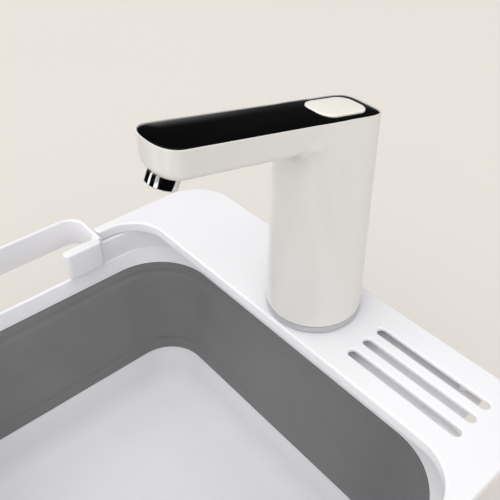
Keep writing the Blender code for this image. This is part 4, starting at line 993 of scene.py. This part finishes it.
class SINK_OT_drain(bpy.types.Operator):
    """Build the drain fitting, its stopper and the four feet"""
    bl_idname = "sink.drain"
    bl_label = "Drain and feet"

    def execute(self, context):
        def at_drain(grid):
            return grid * MM + (0.0, BASIN_Y, 0.0)

        floor = FLOOR_TOP / MM
        throat, flange = DRAIN_THROAT / MM, DRAIN_FLANGE / MM
        stopper = [(0.0, floor - 4.6), (throat - 1.4, floor - 4.6), (throat - 0.6, floor - 1.2),
                   (throat - 0.6, floor + 0.8), (throat + 3.4, floor + 2.0), (throat + 3.4, floor + 3.4),
                   (throat + 2.0, floor + 4.2), (5.0, floor + 4.6), (3.2, floor + 6.4), (3.2, floor + 9.0),
                   (6.0, floor + 11.0), (6.0, floor + 12.6), (4.4, floor + 13.2), (0.0, floor + 13.2)]
        piece("stopper", [turned_parts(stopper, 0.6, at_drain)], "stopper", "grey_tpe", "drain_stopper")
        body = [(throat, floor + 0.4), (throat + 3, floor + 1.6), (flange - 1, floor + 1.6), (flange, floor + 0.3),
                (DRAIN_HOLE / MM - 0.3, floor + 0.3), (DRAIN_HOLE / MM - 0.3, 3.2), (throat, 3.2)]
        bars = []
        for turn in (45.0, 135.0):
            reach = DRAIN_THROAT + 1.5 * MM
            bar = soft_box((-reach, -MM, 4.2 * MM), (reach, MM, 6.2 * MM), 0.4 * MM, 0.5 * MM)
            c, s = math.cos(math.radians(turn)), math.sin(math.radians(turn))
            spun = bar[0] @ np.array([[c, s, 0], [-s, c, 0], [0, 0, 1]]) + (0.0, BASIN_Y, 0.0)
            bars.append((spun, bar[1]))
        piece("drain_fitting", [turned_parts(body, 0.35, at_drain)] + bars, "base", "chrome_drain", "drain_flange")
        top = (FLOOR_TOP - TUB_WALL) / MM - 0.3
        foot = [(0.0, 0.0), (8.0, 0.0), (9.7, 1.0), (9.9, 4.0), (9.4, 4.6), (10.0, 5.2), (10.5, top), (0.0, top)]
        for number, side in enumerate(((-1, -1), (1, -1), (-1, 1), (1, 1)), 1):
            def at_foot(grid, side=side):
                return grid * MM + (side[0] * FEET_AT[0], BASIN_Y + side[1] * FEET_AT[1], 0.0)

            piece(f"rubber_foot_{number}", [turned_parts(foot, 0.45, at_foot)], "base", "black_rubber",
                  f"foot_{number}")
        return {"FINISHED"}


class SINK_OT_tap(bpy.types.Operator):
    """Build the tap: shell, gloss cover, button, outlet and trim ring"""
    bl_idname = "sink.tap"
    bl_label = "Tap"

    def execute(self, context):
        shell = piece("tap_shell", [shell_parts()], "tap", "shell_white", "faucet_shell")
        port = rect_loops(PORT_HALF[0], PORT_HALF[1], 2.0, [20.0, 45.0], steps=8)
        port = np.stack([port[..., 0], port[..., 2], PORT_Z + port[..., 1]], -1)
        carve(shell, rod(OUTLET_HOLE, leaning), rod(SENSOR_HOLE, at_sensor), [capped(tap_to_world(port))])
        cover = piece("gloss_cover", [cover_parts()], "tap", "black_gloss", "top_cover")
        hole = button_loops([0.0, 0.0], [-4.0, 5.0])
        carve(cover, [capped(tap_to_world(on_slope(hole, -BUTTON_BACK)))])
        piece("tap_button", button_parts(), "button", "ivory_plastic", "push_button")
        for node, (slot, stand, profile, radius) in TURNED_ON_TAP.items():
            points, faces = turned_parts(profile, radius, stand)
            piece(f"tap_{node}", [(tap_to_world(points), faces)], "tap", slot, node)
        trim = [(TAP_RADIUS - 2.6, 0.3), (TAP_RADIUS - 0.5, 0.3), (TAP_RADIUS - 0.5, 0.9), (TAP_RADIUS + 0.15, 1.0),
                (TAP_RADIUS + 0.15, TRIM_HEIGHT - 0.1), (TAP_RADIUS - 2.6, TRIM_HEIGHT - 0.1)]
        piece("trim_ring", [turned_parts(trim, [0.1, 0.1, 0.1, 0.2, 0.7, 0.1], tap_to_world)], "rim", "silver_trim",
              "base_trim_ring")
        return {"FINISHED"}


class SINK_OT_stage(bpy.types.Operator):
    """Lay the studio floor, set the lights and stand the camera"""
    bl_idname = "sink.stage"
    bl_label = "Stage"

    def execute(self, context):
        scene, settings = context.scene, context.scene.sink_stage
        half = settings.floor_half
        u = np.linspace(-half, half, 9)
        grid = np.stack(np.broadcast_arrays(u[None, :], u[:, None], -0.05 * MM), -1)
        mesh = finish_mesh("studio_floor", [quads(grid, around=False)], recalc=False)
        floor = bpy.data.objects.new("studio_floor", mesh)
        scene.collection.objects.link(floor)
        mesh.materials.append(floor_finish(tuple(scene.sink_colours.floor)))

        world = bpy.data.worlds.new("studio_room")
        world.use_nodes = True
        scene.world = world
        room, background = Nodes(world.node_tree), world.node_tree.nodes["Background"]
        place = room.node("ShaderNodeTexCoord", output="Generated")
        near, aside, height = (
            room.node("ShaderNodeVectorMath", {"operation": "DOT_PRODUCT"}, {0: place, 1: direction}, "Value")
            for direction in (TOWARDS_CAMERA, TO_THE_RIGHT, (0.0, 0.0, 1.0)))
        sky = room.ramp(near, -0.35, 0.35, 0.03, 1.0).brighter(room.ramp(aside, -0.9, -0.25, 1.9, 0.0))
        sky = sky.brighter(room.ramp(height, 0.45, 0.85, 0.0, 1.1))
        horizon = room.ramp(height, 0.0, 0.23, 2.8, 0.0) * room.ramp(aside, -0.3, 0.1, 1.0, 0.05)
        light = sky.brighter(horizon) * settings.room_light
        seen = room.node("ShaderNodeLightPath", output="Is Camera Ray")
        room.feed(background.inputs["Strength"], light + (PLAIN_ROOM - light) * seen)
        background.inputs["Color"].default_value = (1.0, 0.995, 0.985, 1.0)

        black = Finish("dark_board")
        black.done((0.004, 0.004, 0.004, 1.0), 0.95, Specular_IOR_Level=0.0)
        for number, (bearing, width) in enumerate(BOARDS):
            low, high = (BOARD_AWAY, -width / 2, 0.01), (BOARD_AWAY + 0.005, width / 2, BOARD_HEIGHT)
            mesh = finish_mesh("dark_board", [soft_box(low, high, MM, MM)])
            mesh.materials.append(black.material)
            board = bpy.data.objects.new(f"dark_board_{number}", mesh)
            board.rotation_euler.z = math.radians(bearing)
            scene.collection.objects.link(board)
            board.visible_camera = board.visible_diffuse = board.visible_shadow = board.visible_transmission = False

        for name, strength, tilt, azimuth, spread in (
                ("overhead", settings.top_light, 12.0, -50.0, 40.0),
                ("beside_camera", settings.side_light, 54.0, 42.0, 70.0),
                ("far_right", settings.far_light, 55.0, 110.0, 60.0)):
            light = bpy.data.lights.new(name, "SUN")
            light.energy = strength
            light.angle = math.radians(spread)
            lamp = bpy.data.objects.new(name, light)
            lamp.rotation_euler = (math.radians(tilt), 0.0, math.radians(azimuth))
            lamp.visible_glossy = False
            scene.collection.objects.link(lamp)

        camera = bpy.data.cameras.new("camera")
        camera.lens = settings.lens
        camera.sensor_width = 36.0
        camera.clip_start, camera.clip_end = 0.01, 60.0
        stand = bpy.data.objects.new("camera", camera)
        stand.location = CAMERA_AT
        stand.rotation_euler = [math.radians(turn) for turn in CAMERA_TURN]
        scene.collection.objects.link(stand)
        scene.camera = stand
        scene.view_settings.view_transform = "Standard"
        return {"FINISHED"}


BUILDERS = (SINK_OT_stage, SINK_OT_finishes, SINK_OT_basin, SINK_OT_rim, SINK_OT_deck, SINK_OT_drain, SINK_OT_tap)


class SINK_PT_panel(bpy.types.Panel):
    """The sink's builders and settings in the sidebar"""
    bl_idname = "SINK_PT_panel"
    bl_label = "Portable handwash sink"
    bl_space_type = "VIEW_3D"
    bl_region_type = "UI"
    bl_category = "Sink"

    def draw(self, context):
        for settings in (context.scene.sink_colours, context.scene.sink_stage):
            for key in settings.__annotations__:
                self.layout.prop(settings, key)
        for builder in BUILDERS:
            self.layout.operator(builder.bl_idname)


CLASSES = (SinkColours, SinkStage, *BUILDERS, SINK_PT_panel)


def register():
    for kind in CLASSES:
        bpy.utils.register_class(kind)
    bpy.types.Scene.sink_colours = PointerProperty(type=SinkColours)
    bpy.types.Scene.sink_stage = PointerProperty(type=SinkStage)


def unregister():
    del bpy.types.Scene.sink_colours, bpy.types.Scene.sink_stage
    for kind in reversed(CLASSES):
        bpy.utils.unregister_class(kind)


def main():
    register()
    for name in ("stage", "finishes", "basin", "rim", "deck", "drain", "tap"):
        getattr(bpy.ops.sink, name)()


if __name__ == "__main__":
    main()
